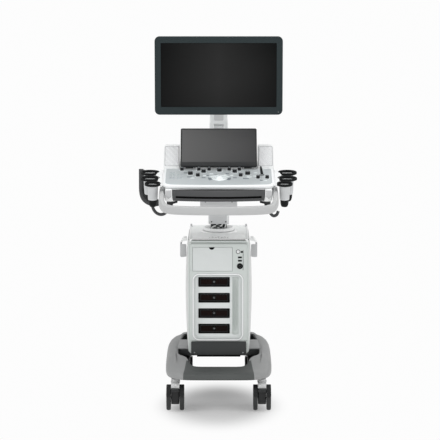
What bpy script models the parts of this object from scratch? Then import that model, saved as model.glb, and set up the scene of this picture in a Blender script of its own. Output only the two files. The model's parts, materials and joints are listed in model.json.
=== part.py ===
"""Cart-based ultrasound machine, modelled as separate pieces in metres.

+X is to the machine's right as seen from the operator, -Y is the operator's side and +Z is up.
The origin is the floor point below the middle of the machine.
"""
import math

import bmesh
import bpy
from mathutils import Matrix, Vector

FIT_GAP = 0.0004           # clearance left between neighbouring pieces
MERGE_DISTANCE = 0.00001

# Casters
WHEEL_RADIUS = 0.050
WHEEL_WIDTH = 0.018
WHEEL_INNER = 0.0185       # from the caster's middle to a wheel's inner face
WEB_HALF_WIDTH = 0.0165
AXLE_RADIUS = 0.004
STEM_RADIUS = 0.010
CASTER_TRAIL = 0.018
CASTERS = {
    "front_left": (-0.178, -0.202),
    "front_right": (0.178, -0.202),
    "rear_left": (-0.150, 0.285),
    "rear_right": (0.150, 0.285),
}

# Base
BASE_CENTRE_Y = 0.060
BASE_HALF_LENGTH = 0.320
BASE_HALF_WIDTH = 0.2206
BASE_FRONT_POWER = 5.5
BASE_REAR_POWER = 4.2
BASE_BOTTOM = 0.133
BASE_TOP = 0.198
BUMPER_HEIGHT_SHARE = 0.50
COVER_WALL = 0.005
CHASSIS_BOTTOM = 0.137
CHASSIS_TOP = 0.152
TOWER_PAD = (-0.108, 0.108, 0.167, 0.262)          # left, right, front, rear
FLOOR_GAP = (-0.122, 0.122, -0.178, 0.158)
FRONT_OPENING = (                                  # right half, from the bumper back
    (0.060, -0.178), (0.092, -0.176), (0.108, -0.168), (0.120, -0.150), (0.128, -0.125), (0.136, -0.105),
    (0.150, -0.090), (0.162, -0.072), (0.169, -0.045), (0.169, -0.010), (0.163, 0.022), (0.150, 0.042),
    (0.132, 0.050), (0.124, 0.060), (0.122, 0.138),
)
REAR_OPENING = (
    (-0.162, 0.205), (-0.112, 0.205), (-0.112, 0.163), (0.112, 0.163), (0.112, 0.205), (0.162, 0.205),
    (0.147, 0.335), (-0.147, 0.335),
)

# Tower
TOWER_BOTTOM = 0.205
TOWER_TOP = 0.674
TOWER_FRONT = -0.080
TOWER_REAR = 0.270
TOWER_HALF_WIDTH = 0.1266
TOWER_BULGE = 0.017
PANEL_FRONT = -0.084
PANEL_THICKNESS = 0.0075
PANEL_HALF_WIDTH = 0.1185
PANEL_BOTTOM = 0.258
PANEL_TOP = 0.668
DOOR = (-0.108, 0.057, 0.5533, 0.6534)            # left, right, bottom, top
PORT_RECESS = (-0.1033, 0.0969, 0.2650, 0.5377)
PORTS = (-0.0832, 0.0447)
PORT_HEIGHT = 0.040
PORT_CENTRES = (0.507, 0.440, 0.3745, 0.309)
GUTTER = (0.0550, 0.0900, 0.280, 0.527)
POWER_BUTTON = (0.0804, 0.6353)
POWER_RADIUS = 0.0068
TRAY_TOP = 0.686
TRAY_HALF_WIDTH = 0.1235
PAD = (-0.108, 0.108, -0.066, 0.068)               # raised resting face in front of the turntable
PAD_RISE = 0.0008
TOWER_HOOK_OUTLINE = (
    (0.1332, 0.6505), (0.1332, 0.671), (0.152, 0.671), (0.1615, 0.660), (0.1615, 0.590), (0.1455, 0.590),
    (0.1455, 0.597), (0.1545, 0.597), (0.1545, 0.657), (0.1495, 0.662), (0.1375, 0.662), (0.1375, 0.6505),
)
TOWER_HOOK_ENDS = (0.035, 0.085)
VENT_COUNT = 8

# Column
COLUMN_Y = 0.1475
SLEEVE_HALF_WIDTH = 0.0435
SLEEVE_HALF_DEPTH = 0.036
SLEEVE_BOTTOM = 0.717
SLEEVE_TOP = 1.062
SLEEVE_WALL = 0.0065
MAST_CLEARANCE = 0.003
MAST_TOP = 1.040

# Console
CONSOLE_HALF_WIDTH = 0.215
DECK_HALF_WIDTH = 0.2235
DECK_FRONT = (-0.290, 0.943)                       # Y and Z of the top front edge
DECK_LENGTH = 0.2345
DECK_THICKNESS = 0.015
DECK_TILT = math.radians(8.9)
CONSOLE_PROFILE = (
    (-0.282, 0.8765), (0.020, 0.862), (0.108, 0.872), (0.108, 0.985), (-0.030, 0.968), (-0.056, 0.9630),
    (-0.282, 0.9275),
)
WING_PROFILE = (
    (-0.050, 0.952), (0.104, 0.952), (0.104, 1.030), (0.083, 1.060), (0.034, 1.062), (-0.050, 0.983),
)
DRAWER_HALF_WIDTH = 0.184
DRAWER_BOTTOM = 0.879
DRAWER_TOP = 0.9235
DRAWER_FRONT = -0.280
DRAWER_BOW = 0.024                                  # how far the middle of the drawer's front stands forward
DRAWER_BOW_STEPS = 12
GRIP_HALF_WIDTH = 0.172
DRAWER_REAR = -0.075
WING_INNER = 0.162
WING_OUTER = 0.227
HANDLE_HALF_DEPTH = 0.0117
HANDLE_HALF_HEIGHT = 0.0180
HANDLE_MIDDLE = (0, -0.368, 0.8530)
HANDLE_PATH = (
    (0.2284, -0.120, 0.899), (0.2284, -0.190, 0.899), (0.2284, -0.250, 0.898), (0.2284, -0.285, 0.891),
    (0.2270, -0.312, 0.875), (0.2150, -0.334, 0.8600), (0.1900, -0.346, 0.8545), (0.1400, -0.3575, 0.8532),
    (0.0800, -0.3652, 0.8530),
)
CABLE_HOOK_Y = -0.100
CABLE_HOOK_HALVES = (0.009, 0.0065)
CABLE_HOOK_PATHS = {                               # distance from the middle and height
    "left": ((0.207, 0.860), (0.207, 0.830), (0.211, 0.810), (0.223, 0.797), (0.240, 0.794), (0.256, 0.801),
             (0.267, 0.815), (0.2725, 0.832)),
    "right": ((0.207, 0.860), (0.207, 0.825), (0.211, 0.802), (0.224, 0.7885), (0.238, 0.793), (0.2445, 0.808)),
}

# Knobs as (X, Y, radius); each stands on the deck
KNOBS = (
    (-0.1503, -0.0870, 0.0080), (-0.0811, -0.0870, 0.0080), (-0.0393, -0.0870, 0.0080),
    (0.0029, -0.0973, 0.0105), (0.0434, -0.0870, 0.0080), (0.0848, -0.0870, 0.0080),
    (-0.0616, -0.1137, 0.0100), (0.0653, -0.1137, 0.0100), (-0.1151, -0.1408, 0.0110),
    (0.1180, -0.1408, 0.0110), (-0.0847, -0.1664, 0.0088), (0.0892, -0.1664, 0.0088),
    (0.1592, -0.1932, 0.0082), (0.1960, -0.1932, 0.0082),
)
KNOB_HEIGHT = 0.013
BALL_PLACE = (0.0032, -0.1999)
BALL_RADIUS = 0.019
BALL_SINK = 0.006
LEVER_PLACE = (0.1759, -0.1489)

# Touch screen
TOUCH_EDGE = (-0.080, 0.992)                       # Y and Z of the front face's bottom edge
TOUCH_TILT = math.radians(47.0)
TOUCH_HALF_WIDTH = 0.1575
TOUCH_LENGTH = 0.1907
TOUCH_THICKNESS = 0.016
TOUCH_CHIN = 0.020
TOUCH_RIM = 0.006

# Probe holders: Y, distance from the middle, height and sideways stretch of each ring
HOLDER_RINGS = ((-0.240, 0.2655, 0.9416, 1.0), (-0.160, 0.2780, 0.9515, 1.25), (-0.080, 0.2810, 0.9638, 1.22))
RING_RADIUS = 0.0325
RING_FLATTEN = 0.83
RING_HOLE = 0.0205
RING_HEIGHT = 0.011
HOLDER_RAIL = ((0.2275, -0.262), (0.2275, -0.052), (0.264, -0.052), (0.244, -0.262))
HOLDER_RAIL_HALF = 0.005
CUP = (0.0215, 0.093, 0.0485, 0.0150)              # top radius, length, drop and bottom radius
CUP_HOLE = (0.0110, 0.130, 0.047)                   # bottom radius, length and drop
LONG_HOLDER_PATH = (
    (-0.3195, -0.030, 0.972), (-0.3195, -0.034, 0.930), (-0.3185, -0.040, 0.880), (-0.3100, -0.047, 0.853),
    (-0.2920, -0.055, 0.838), (-0.2680, -0.062, 0.832), (-0.2450, -0.070, 0.838), (-0.2300, -0.075, 0.866),
)
LONG_HOLDER_WEB = (                                 # X and Z of the plate that fills the curl
    (-0.3185, 0.970), (-0.3045, 0.970), (-0.3000, 0.915), (-0.2900, 0.897), (-0.2640, 0.868), (-0.2480, 0.843),
    (-0.2680, 0.833), (-0.2920, 0.839), (-0.3095, 0.854),
)
LONG_HOLDER_WEB_SPAN = (-0.046, -0.034)
LONG_HOLDER_HALVES = (0.014, 0.0100)

# Monitor and arm
MONITOR_HALF_WIDTH = 0.2645
MONITOR_BOTTOM = 1.188
MONITOR_TOP = 1.512
MONITOR_FRONT = 0.045
BEZEL_DEPTH = 0.018
SCREEN = (-0.2392, 0.2392, 1.2202, 1.4851)
ARM_LOW = (0.180, 1.103)                           # Y and Z of the lower pivot
ARM_HIGH = (0.300, 1.313)
ARM_LUG_HALF = 0.019
PIN_RADIUS = 0.006
SWIVEL_Y = 0.168
TILT_AXIS = (0.128, 1.330)

PLASTIC_WHITE = ((0.76, 0.78, 0.78), 0.45, 0.0)
PLASTIC_PANEL = ((0.55, 0.58, 0.57), 0.50, 0.0)
PLASTIC_GREY = ((0.32, 0.33, 0.33), 0.50, 0.0)
PLASTIC_DARK = ((0.045, 0.048, 0.050), 0.45, 0.0)
RUBBER = ((0.030, 0.030, 0.032), 0.80, 0.0)
STEEL = ((0.30, 0.31, 0.32), 0.35, 1.0)
GLASS_DARK = ((0.010, 0.010, 0.012), 0.10, 0.0)
BALL_PALE = ((0.80, 0.88, 0.88), 0.20, 0.0)


# ---------------------------------------------------------------- helpers

def clear_scene():
    for item in list(bpy.data.objects):
        bpy.data.objects.remove(item, do_unlink=True)


def collection(name):
    group = bpy.data.collections.new(name)
    bpy.context.scene.collection.children.link(group)
    return group


clear_scene()
MACHINE = collection("ultrasound_machine")
CUTTERS = collection("cutters")


def finish(item, look):
    colour, roughness, metallic = look
    material = bpy.data.materials.new(item.name + "_finish")
    material.use_nodes = True
    shader = material.node_tree.nodes["Principled BSDF"]
    shader.inputs["Base Color"].default_value = (*colour, 1.0)
    shader.inputs["Roughness"].default_value = roughness
    shader.inputs["Metallic"].default_value = metallic
    item.data.materials.clear()
    item.data.materials.append(material)
    return item


def add_object(name, bm, place=(0, 0, 0)):
    """Turn a bmesh into a smooth-shaded object whose faces point out."""
    bmesh.ops.remove_doubles(bm, verts=bm.verts, dist=MERGE_DISTANCE)
    bmesh.ops.recalc_face_normals(bm, faces=bm.faces)
    mesh = bpy.data.meshes.new(name)
    bm.to_mesh(mesh)
    bm.free()
    item = bpy.data.objects.new(name, mesh)
    item.location = place
    MACHINE.objects.link(item)
    return item


def turned(bm, axis):
    """Lay a shape that was made along Z along another axis."""
    if axis == "X":
        bmesh.ops.rotate(bm, verts=bm.verts, matrix=Matrix.Rotation(math.pi / 2, 3, "Y"))
    if axis == "Y":
        bmesh.ops.rotate(bm, verts=bm.verts, matrix=Matrix.Rotation(-math.pi / 2, 3, "X"))
    return bm


def box(name, low, high, bevel=0.0):
    low = Vector(low)
    high = Vector(high)
    bm = bmesh.new()
    bmesh.ops.create_cube(bm, size=1.0)
    bmesh.ops.scale(bm, vec=high - low, verts=bm.verts)
    if bevel:
        bmesh.ops.bevel(bm, geom=bm.edges[:], offset=bevel, segments=2, affect="EDGES", profile=0.5)
    return add_object(name, bm, (low + high) / 2)


def cylinder(name, centre, radius, length, axis="Z", top_radius=None, sides=24):
    bm = bmesh.new()
    top = radius if top_radius is None else top_radius
    bmesh.ops.create_cone(bm, cap_ends=True, segments=sides, radius1=radius, radius2=top, depth=length)
    return add_object(name, turned(bm, axis), centre)


def sphere(name, centre, radius, sides=20):
    bm = bmesh.new()
    bmesh.ops.create_uvsphere(bm, u_segments=sides, v_segments=sides // 2, radius=radius)
    return add_object(name, bm, centre)


def loft(name, rings, strips=False):
    """Skin closed rings of equal count. Strips cap a ring that is symmetric about X = 0."""
    bm = bmesh.new()
    rows = [[bm.verts.new(point) for point in ring] for ring in rings]
    count = len(rows[0])
    for lower, upper in zip(rows, rows[1:]):
        for i in range(count):
            j = (i + 1) % count
            bm.faces.new((lower[i], lower[j], upper[j], upper[i]))
    for row in (rows[0], rows[-1]):
        if strips:
            for i in range(count // 2 - 1):
                bm.faces.new((row[i], row[i + 1], row[count - 2 - i], row[count - 1 - i]))
        else:
            bm.faces.new(row)
    return add_object(name, bm)


def rounded_rectangle(left, right, bottom, top, radius, steps=4):
    """Corner points of a rectangle with round corners, as (u, v) pairs."""
    corners = ((right, top, 0), (left, top, 90), (left, bottom, 180), (right, bottom, 270))
    points = []
    for u, v, start in corners:
        centre_u = u - math.copysign(radius, u - (left + right) / 2)
        centre_v = v - math.copysign(radius, v - (bottom + top) / 2)
        for step in range(steps + 1):
            angle = math.radians(start + 90 * step / steps)
            points.append((centre_u + radius * math.cos(angle), centre_v + radius * math.sin(angle)))
    return points


def slab(name, outline, low, high, axis="Y"):
    """Extrude a flat outline: (X, Z) pairs along Y, (X, Y) along Z or (Y, Z) along X."""
    order = {"Y": lambda u, v, w: (u, w, v), "Z": lambda u, v, w: (u, v, w), "X": lambda u, v, w: (w, u, v)}
    place = order[axis]
    return loft(name, [[place(u, v, w) for u, v in outline] for w in (low, high)])


def sweep(name, path, half_width, half_height, wide=None, sides=12, power=4.0):
    """Carry a squarish section along a path. Its width lies level, or along the direction given."""
    points = [Vector(point) for point in path]
    rings = []
    for i, point in enumerate(points):
        ahead = points[min(i + 1, len(points) - 1)]
        behind = points[max(i - 1, 0)]
        tangent = (ahead - behind).normalized()
        side = Vector(wide) if wide else tangent.cross(Vector((0, 0, 1)))
        side = (side - tangent * side.dot(tangent)).normalized()
        rise = side.cross(tangent).normalized()
        ring = []
        for step in range(sides):
            angle = math.tau * (step + 0.5) / sides
            across = math.copysign(abs(math.cos(angle)) ** (2 / power), math.cos(angle)) * half_width
            along = math.copysign(abs(math.sin(angle)) ** (2 / power), math.sin(angle)) * half_height
            ring.append(point + side * across + rise * along)
        rings.append(ring)
    return loft(name, rings)


def smooth_path(points, steps=4):
    """Catmull-Rom points through a list of places, so that a bar bends without kinks."""
    places = [Vector(point) for point in points]
    padded = [places[0]] + places + [places[-1]]
    result = []
    for i in range(1, len(padded) - 2):
        a, b, c, d = padded[i - 1:i + 3]
        for step in range(steps):
            t = step / steps
            result.append(0.5 * (2 * b + (c - a) * t + (2 * a - 5 * b + 4 * c - d) * t ** 2
                                 + (3 * b - a - 3 * c + d) * t ** 3))
    result.append(places[-1])
    return result


def boolean(item, tool, operation):
    """Apply one Boolean and keep the tool as a hidden wire cutter only when it is a cut."""
    modifier = item.modifiers.new(operation.lower(), "BOOLEAN")
    modifier.operation = operation
    modifier.object = tool
    bpy.context.view_layer.update()
    shape = bpy.data.meshes.new_from_object(item.evaluated_get(bpy.context.evaluated_depsgraph_get()))
    item.modifiers.clear()
    item.data = shape
    if operation == "UNION":
        bpy.data.objects.remove(tool, do_unlink=True)
    else:
        MACHINE.objects.unlink(tool)
        CUTTERS.objects.link(tool)
        tool.hide_render = True
        tool.display_type = "WIRE"
    return item


def cut(item, *tools):
    for tool in tools:
        boolean(item, tool, "DIFFERENCE")
    return item


def join(item, *others):
    for other in others:
        boolean(item, other, "UNION")
    return item


def set_origin(item, place):
    """Move an object's origin to its joint's axis and leave its shape where it is."""
    shift = Vector(place) - item.location
    item.data.transform(Matrix.Translation(-shift))
    item.location = place
    return item


def deck_place(x, y, lift=0.0):
    """World place of a deck point, lifted along the deck's normal."""
    z = DECK_FRONT[1] + (y - DECK_FRONT[0]) * math.tan(DECK_TILT)
    return Vector((x, y - lift * math.sin(DECK_TILT), z + lift * math.cos(DECK_TILT)))


# ---------------------------------------------------------------- casters and base

def caster(name, x, y):
    axle = Vector((x, y - CASTER_TRAIL, WHEEL_RADIUS))
    web = box("caster_fork_" + name, (x - WEB_HALF_WIDTH, axle.y - 0.026, 0.026),
              (x + WEB_HALF_WIDTH, axle.y + 0.036, 0.116), bevel=0.005)
    join(web, cylinder("stem", (x, y, 0.1325), STEM_RADIUS, 0.045))
    cut(web, cylinder("axle_bore_" + name, axle, AXLE_RADIUS + 0.0005, 0.05, axis="X", sides=16))
    finish(set_origin(web, (x, y, BASE_BOTTOM)), PLASTIC_GREY)

    wheels = cylinder("caster_wheels_" + name, axle, AXLE_RADIUS, 2 * WHEEL_INNER + 0.01, axis="X", sides=16)
    for side in (-1, 1):
        centre = axle + Vector((side * (WHEEL_INNER + WHEEL_WIDTH / 2), 0, 0))
        tyre = cylinder("tyre", centre, WHEEL_RADIUS, WHEEL_WIDTH, axis="X", sides=32)
        join(wheels, tyre)
    finish(set_origin(wheels, axle), RUBBER)


def brake_pedal(name, x, y):
    hinge = Vector((x, y - CASTER_TRAIL - 0.0265, 0.085))
    pedal = box("brake_pedal_" + name, (x - WEB_HALF_WIDTH, hinge.y - 0.026, 0.085),
                (x + WEB_HALF_WIDTH, hinge.y, 0.099), bevel=0.003)
    finish(set_origin(pedal, hinge), PLASTIC_GREY)


def base_outline(inset, height, share=True, sides=48):
    """One level of the base: a superellipse, square at the front and rounder at the rear."""
    ring = []
    for i in range(sides):
        angle = -math.pi / 2 + math.tau * (i + 0.5) / sides
        power = BASE_FRONT_POWER if math.sin(angle) < 0 else BASE_REAR_POWER
        across = math.copysign(abs(math.cos(angle)) ** (2 / power), math.cos(angle))
        along = math.copysign(abs(math.sin(angle)) ** (2 / power), math.sin(angle))
        x = across * (BASE_HALF_WIDTH - inset)
        y = BASE_CENTRE_Y + along * (BASE_HALF_LENGTH - inset)
        z = height
        if share and height > BASE_BOTTOM:
            t = min(max((y + 0.215) / 0.125, 0.0), 1.0)
            ease = BUMPER_HEIGHT_SHARE + (1 - BUMPER_HEIGHT_SHARE) * t * t * (3 - 2 * t)
            z = BASE_BOTTOM + (height - BASE_BOTTOM) * ease
        ring.append((x, y, z))
    return ring


def front_opening():
    """The scoop around the tower foot, narrower where it reaches the bumper."""
    left = [(-x, y) for x, y in reversed(FRONT_OPENING)]
    return list(FRONT_OPENING) + left


def base():
    levels = ((0.006, BASE_BOTTOM), (0.0, 0.142), (0.0, 0.176), (0.007, 0.190), (0.022, BASE_TOP))
    cover = loft("base_cover", [base_outline(inset, z) for inset, z in levels], strips=True)
    low = BASE_BOTTOM - 0.02
    hollow = [(COVER_WALL + 0.006, low), (COVER_WALL, 0.142), (COVER_WALL + 0.002, 0.172),
              (0.014, 0.184), (0.026, BASE_TOP - COVER_WALL)]
    cut(cover,
        loft("cover_hollow", [base_outline(inset, z) for inset, z in hollow], strips=True),
        slab("front_opening", front_opening(), 0.1, 0.3, axis="Z"),
        slab("rear_opening", REAR_OPENING, 0.1, 0.3, axis="Z"))
    finish(cover, PLASTIC_GREY)

    inset = COVER_WALL + 0.008
    frame = loft("chassis_frame", [base_outline(inset, z, share=False) for z in (CHASSIS_BOTTOM, CHASSIS_TOP)],
                 strips=True)
    left, right, front, rear = TOWER_PAD
    join(frame, box("tower_pad", (left, front, CHASSIS_BOTTOM + 0.002), (right, rear, TOWER_BOTTOM - FIT_GAP)))
    cut(frame, slab("floor_gap", rounded_rectangle(*FLOOR_GAP, 0.02), 0.1, 0.3, axis="Z"))
    for name, (x, y) in CASTERS.items():
        cut(frame, cylinder("stem_socket_" + name, (x, y, 0.15), STEM_RADIUS + FIT_GAP, 0.06, sides=24))
    finish(frame, PLASTIC_DARK)

    plate = box("foot_rest_plate", (-0.1145, -0.098, 0.200), (0.1145, -0.0845, 0.2565), bevel=0.004)
    join(plate, box("foot_lip", (-0.090, -0.094, 0.1925), (0.090, -0.086, 0.203)))
    finish(plate, PLASTIC_DARK)


# ---------------------------------------------------------------- tower

def tower_outline(z, sides=40):
    """Plan of the tower at one height. The sides swell in the middle and the corners are round."""
    rise = (z - TOWER_BOTTOM) / (TOWER_TOP - TOWER_BOTTOM)
    swell = TOWER_BULGE * math.sin(math.pi * min(max(rise, 0.0), 1.0)) ** 0.6
    centre = (TOWER_FRONT + TOWER_REAR) / 2
    ring = []
    for i in range(sides):
        angle = -math.pi / 2 + math.tau * (i + 0.5) / sides
        across = math.copysign(abs(math.cos(angle)) ** 0.22, math.cos(angle))
        along = math.copysign(abs(math.sin(angle)) ** 0.22, math.sin(angle))
        half = TOWER_HALF_WIDTH + swell * max(1 - along ** 2, 0.0) ** 0.7
        ring.append((across * half, centre + along * (TOWER_REAR - TOWER_FRONT) / 2, z))
    return ring


def tower():
    count = 9
    heights = [TOWER_BOTTOM + (TOWER_TOP - TOWER_BOTTOM) * i / (count - 1) for i in range(count)]
    shell = loft("tower_shell", [tower_outline(z) for z in heights], strips=True)
    half = PANEL_HALF_WIDTH + FIT_GAP
    cut(shell, box("tower_hollow", (-half, TOWER_FRONT - 0.02, PANEL_BOTTOM - FIT_GAP),
                   (half, TOWER_REAR + 0.02, PANEL_TOP + FIT_GAP)))
    finish(shell, PLASTIC_WHITE)

    back = PANEL_FRONT + PANEL_THICKNESS
    panel = slab("front_panel", rounded_rectangle(-PANEL_HALF_WIDTH, PANEL_HALF_WIDTH, PANEL_BOTTOM, PANEL_TOP,
                                                  0.010), PANEL_FRONT, back)
    left, right, low, high = DOOR
    cut(panel,
        box("door_opening", (left, PANEL_FRONT - 0.01, low), (right, back + 0.01, high)),
        slab("port_opening", rounded_rectangle(*PORT_RECESS, 0.022), PANEL_FRONT - 0.01, back + 0.01),
        cylinder("button_hole", (POWER_BUTTON[0], PANEL_FRONT, POWER_BUTTON[1]), POWER_RADIUS + FIT_GAP, 0.03,
                 axis="Y"))
    finish(panel, PLASTIC_PANEL)

    door = box("media_door", (left + FIT_GAP, PANEL_FRONT, low + FIT_GAP),
               (right - FIT_GAP, PANEL_FRONT + 0.005, high - FIT_GAP))
    notch = cylinder("finger_notch", ((left + right) / 2 - 0.003, PANEL_FRONT, high + 0.003), 0.010, 0.03, axis="Y")
    cut(door, notch)
    finish(set_origin(door, (0, PANEL_FRONT, low + FIT_GAP)), PLASTIC_PANEL)

    button = cylinder("power_button", (POWER_BUTTON[0], PANEL_FRONT + 0.003, POWER_BUTTON[1]), POWER_RADIUS, 0.008,
                      axis="Y")
    finish(button, PLASTIC_WHITE)

    left, right, low, high = PORT_RECESS
    grow = 0.004
    board = slab("probe_port_board", rounded_rectangle(left - grow, right + grow, low - grow, high + grow, 0.022),
                 back + FIT_GAP, back + 0.034)
    for i, z in enumerate(PORT_CENTRES):
        pocket = box("port_%d" % (i + 1), (PORTS[0], back - 0.01, z - PORT_HEIGHT / 2),
                     (PORTS[1], back + 0.026, z + PORT_HEIGHT / 2))
        cut(board, pocket)
    cut(board, slab("gutter", rounded_rectangle(*GUTTER, 0.008), back - 0.01, back + 0.026))
    finish(board, PLASTIC_PANEL)

    cage = box("electronics_cage", (-0.105, 0.010, 0.265), (0.105, 0.245, 0.655), bevel=0.002)
    finish(cage, STEEL)

    rear = box("rear_cover", (-PANEL_HALF_WIDTH, TOWER_REAR - 0.010, PANEL_BOTTOM),
               (PANEL_HALF_WIDTH, TOWER_REAR - 0.003, PANEL_TOP))
    for i in range(VENT_COUNT):
        z = 0.32 + 0.035 * i
        cut(rear, box("vent_%d" % i, (-0.085, TOWER_REAR - 0.02, z), (0.085, TOWER_REAR + 0.02, z + 0.012)))
    finish(rear, PLASTIC_GREY)

    tray = slab("top_tray", rounded_rectangle(-TRAY_HALF_WIDTH, TRAY_HALF_WIDTH, TOWER_FRONT + 0.002, TOWER_REAR - 0.004, 0.018),
                TOWER_TOP + FIT_GAP, TRAY_TOP, axis="Z")
    left, right, front, rear = PAD
    join(tray, box("rest_pad", (left, front, TRAY_TOP - 0.002), (right, rear, TRAY_TOP + PAD_RISE)))
    for side in (-1, 1):
        join(tray, cylinder("post", (side * 0.114, 0.246, TRAY_TOP + 0.008), 0.0045, 0.026, sides=12))
    finish(tray, PLASTIC_WHITE)

    for side, name in ((-1, "left"), (1, "right")):
        hook = slab("tower_hook_" + name, [(side * u, v) for u, v in TOWER_HOOK_OUTLINE], *TOWER_HOOK_ENDS)
        finish(hook, PLASTIC_GREY)


# ---------------------------------------------------------------- column

def column():
    ring = cylinder("turntable", (0, COLUMN_Y, 0.6935), 0.066, 0.014, sides=40)
    finish(ring, PLASTIC_WHITE)

    inner_x = SLEEVE_HALF_WIDTH - SLEEVE_WALL
    inner_y = SLEEVE_HALF_DEPTH - SLEEVE_WALL
    mast = box("lift_mast", (-inner_x + MAST_CLEARANCE, COLUMN_Y - inner_y + MAST_CLEARANCE, 0.7005 + FIT_GAP),
               (inner_x - MAST_CLEARANCE, COLUMN_Y + inner_y - MAST_CLEARANCE, MAST_TOP), bevel=0.003)
    finish(mast, PLASTIC_DARK)

    sleeve = box("column_sleeve", (-SLEEVE_HALF_WIDTH, COLUMN_Y - SLEEVE_HALF_DEPTH, SLEEVE_BOTTOM),
                 (SLEEVE_HALF_WIDTH, COLUMN_Y + SLEEVE_HALF_DEPTH, SLEEVE_TOP), bevel=0.006)
    join(sleeve, box("bracket", (-0.077, -0.030, 0.808), (0.077, COLUMN_Y - SLEEVE_HALF_DEPTH + 0.003, 0.8615)))
    cut(sleeve, box("sleeve_bore", (-inner_x, COLUMN_Y - inner_y, SLEEVE_BOTTOM - 0.02),
                    (inner_x, COLUMN_Y + inner_y, SLEEVE_TOP - 0.008)))
    finish(sleeve, PLASTIC_GREY)


# ---------------------------------------------------------------- console

def console_base_piece():
    tub = slab("console_base", CONSOLE_PROFILE, -CONSOLE_HALF_WIDTH, CONSOLE_HALF_WIDTH, axis="X")
    for side in (-1, 1):
        ends = sorted((side * WING_INNER, side * WING_OUTER))
        join(tub, slab("wing", WING_PROFILE, *ends, axis="X"))
    half = DRAWER_HALF_WIDTH + 0.002
    cut(tub,
        box("drawer_bay", (-half, -0.30, 0.85), (half, DRAWER_REAR + 0.012, DRAWER_TOP + 0.001)),
        cylinder("ball_well", deck_place(*BALL_PLACE, -0.012), BALL_RADIUS + 0.001, 0.036, sides=24))
    finish(tub, PLASTIC_WHITE)


def deck_piece():
    front = [(-0.2055, 0.014), (-0.14, 0.006), (0, 0.0), (0.14, 0.006), (0.2055, 0.014)]
    right = [(0.2185, 0.020), (DECK_HALF_WIDTH, 0.034), (DECK_HALF_WIDTH, DECK_LENGTH)]
    left = [(-x, y) for x, y in reversed(right)]
    outline = front + right + left
    deck = slab("console_deck", outline, -DECK_THICKNESS, 0.0, axis="Z")
    deck.matrix_world = Matrix.Translation((0, *DECK_FRONT)) @ Matrix.Rotation(DECK_TILT, 4, "X")
    bpy.context.view_layer.update()
    cut(deck, cylinder("ball_hole", deck_place(*BALL_PLACE), BALL_RADIUS + 0.001, 0.06, sides=24))
    finish(deck, PLASTIC_PANEL)


def handle_piece():
    left = [(-x, y, z) for x, y, z in HANDLE_PATH]
    path = left + [HANDLE_MIDDLE] + list(reversed(HANDLE_PATH))
    bar = sweep("handle", smooth_path(path, 2), HANDLE_HALF_DEPTH, HANDLE_HALF_HEIGHT)
    finish(bar, PLASTIC_WHITE)


def drawer_front(inset, reach):
    """Points along the drawer's bowed front, from left to right."""
    points = []
    for step in range(-DRAWER_BOW_STEPS, DRAWER_BOW_STEPS + 1):
        x = reach * step / DRAWER_BOW_STEPS
        points.append((x, DRAWER_FRONT + inset - DRAWER_BOW * (1 - (x / DRAWER_HALF_WIDTH) ** 2)))
    return points


def drawer():
    half = DRAWER_HALF_WIDTH
    outline = drawer_front(0.0, half) + [(half, DRAWER_REAR), (-half, DRAWER_REAR)]
    tray = slab("keyboard_drawer", outline, DRAWER_BOTTOM, DRAWER_TOP, axis="Z")
    slot = drawer_front(-0.010, GRIP_HALF_WIDTH) + list(reversed(drawer_front(0.008, GRIP_HALF_WIDTH)))
    cut(tray,
        box("keyboard_well", (-half + 0.010, DRAWER_FRONT + 0.014, DRAWER_BOTTOM + 0.012),
            (half - 0.010, DRAWER_REAR - 0.010, DRAWER_TOP + 0.01)),
        slab("grip_slot", slot, 0.8905, 0.8990, axis="Z"))
    finish(set_origin(tray, (0, DRAWER_FRONT, DRAWER_BOTTOM)), PLASTIC_DARK)


def knobs():
    for i, (x, y, radius) in enumerate(KNOBS):
        foot = deck_place(x, y, FIT_GAP)
        knob = cylinder("knob_%02d" % (i + 1), (0, 0, KNOB_HEIGHT / 2), radius, KNOB_HEIGHT, top_radius=radius * 0.92,
                        sides=20)
        set_origin(knob, (0, 0, 0))
        knob.matrix_world = Matrix.Translation(foot) @ Matrix.Rotation(DECK_TILT, 4, "X")
        finish(knob, PLASTIC_DARK)


def controls():
    ball = sphere("trackball", deck_place(*BALL_PLACE, -BALL_SINK), BALL_RADIUS)
    finish(ball, BALL_PALE)

    pivot = deck_place(*LEVER_PLACE, 0.0065)
    lever = box("paddle_lever", (-0.0045, -0.005, -0.005), (0.0045, 0.005, 0.030), bevel=0.002)
    set_origin(lever, (0, 0, 0))
    lever.matrix_world = Matrix.Translation(pivot) @ Matrix.Rotation(DECK_TILT, 4, "X")
    finish(lever, PLASTIC_DARK)


def touch_screen():
    place = Matrix.Translation((0, *TOUCH_EDGE)) @ Matrix.Rotation(TOUCH_TILT, 4, "X")
    bezel = box("touch_bezel", (-TOUCH_HALF_WIDTH, 0, -TOUCH_THICKNESS), (TOUCH_HALF_WIDTH, TOUCH_LENGTH, 0),
                bevel=0.003)
    set_origin(bezel, (0, 0, 0))
    half = TOUCH_HALF_WIDTH - TOUCH_RIM
    cut(bezel, box("glass_pocket", (-half, TOUCH_CHIN, -0.0025), (half, TOUCH_LENGTH - TOUCH_RIM, 0.01)))
    glass = box("touch_glass", (-half + FIT_GAP, TOUCH_CHIN + FIT_GAP, -0.0021),
                (half - FIT_GAP, TOUCH_LENGTH - TOUCH_RIM - FIT_GAP, -0.0002))
    set_origin(glass, (0, 0, 0))
    for item, look in ((bezel, PLASTIC_DARK), (glass, GLASS_DARK)):
        item.matrix_world = place
        finish(item, look)


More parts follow.
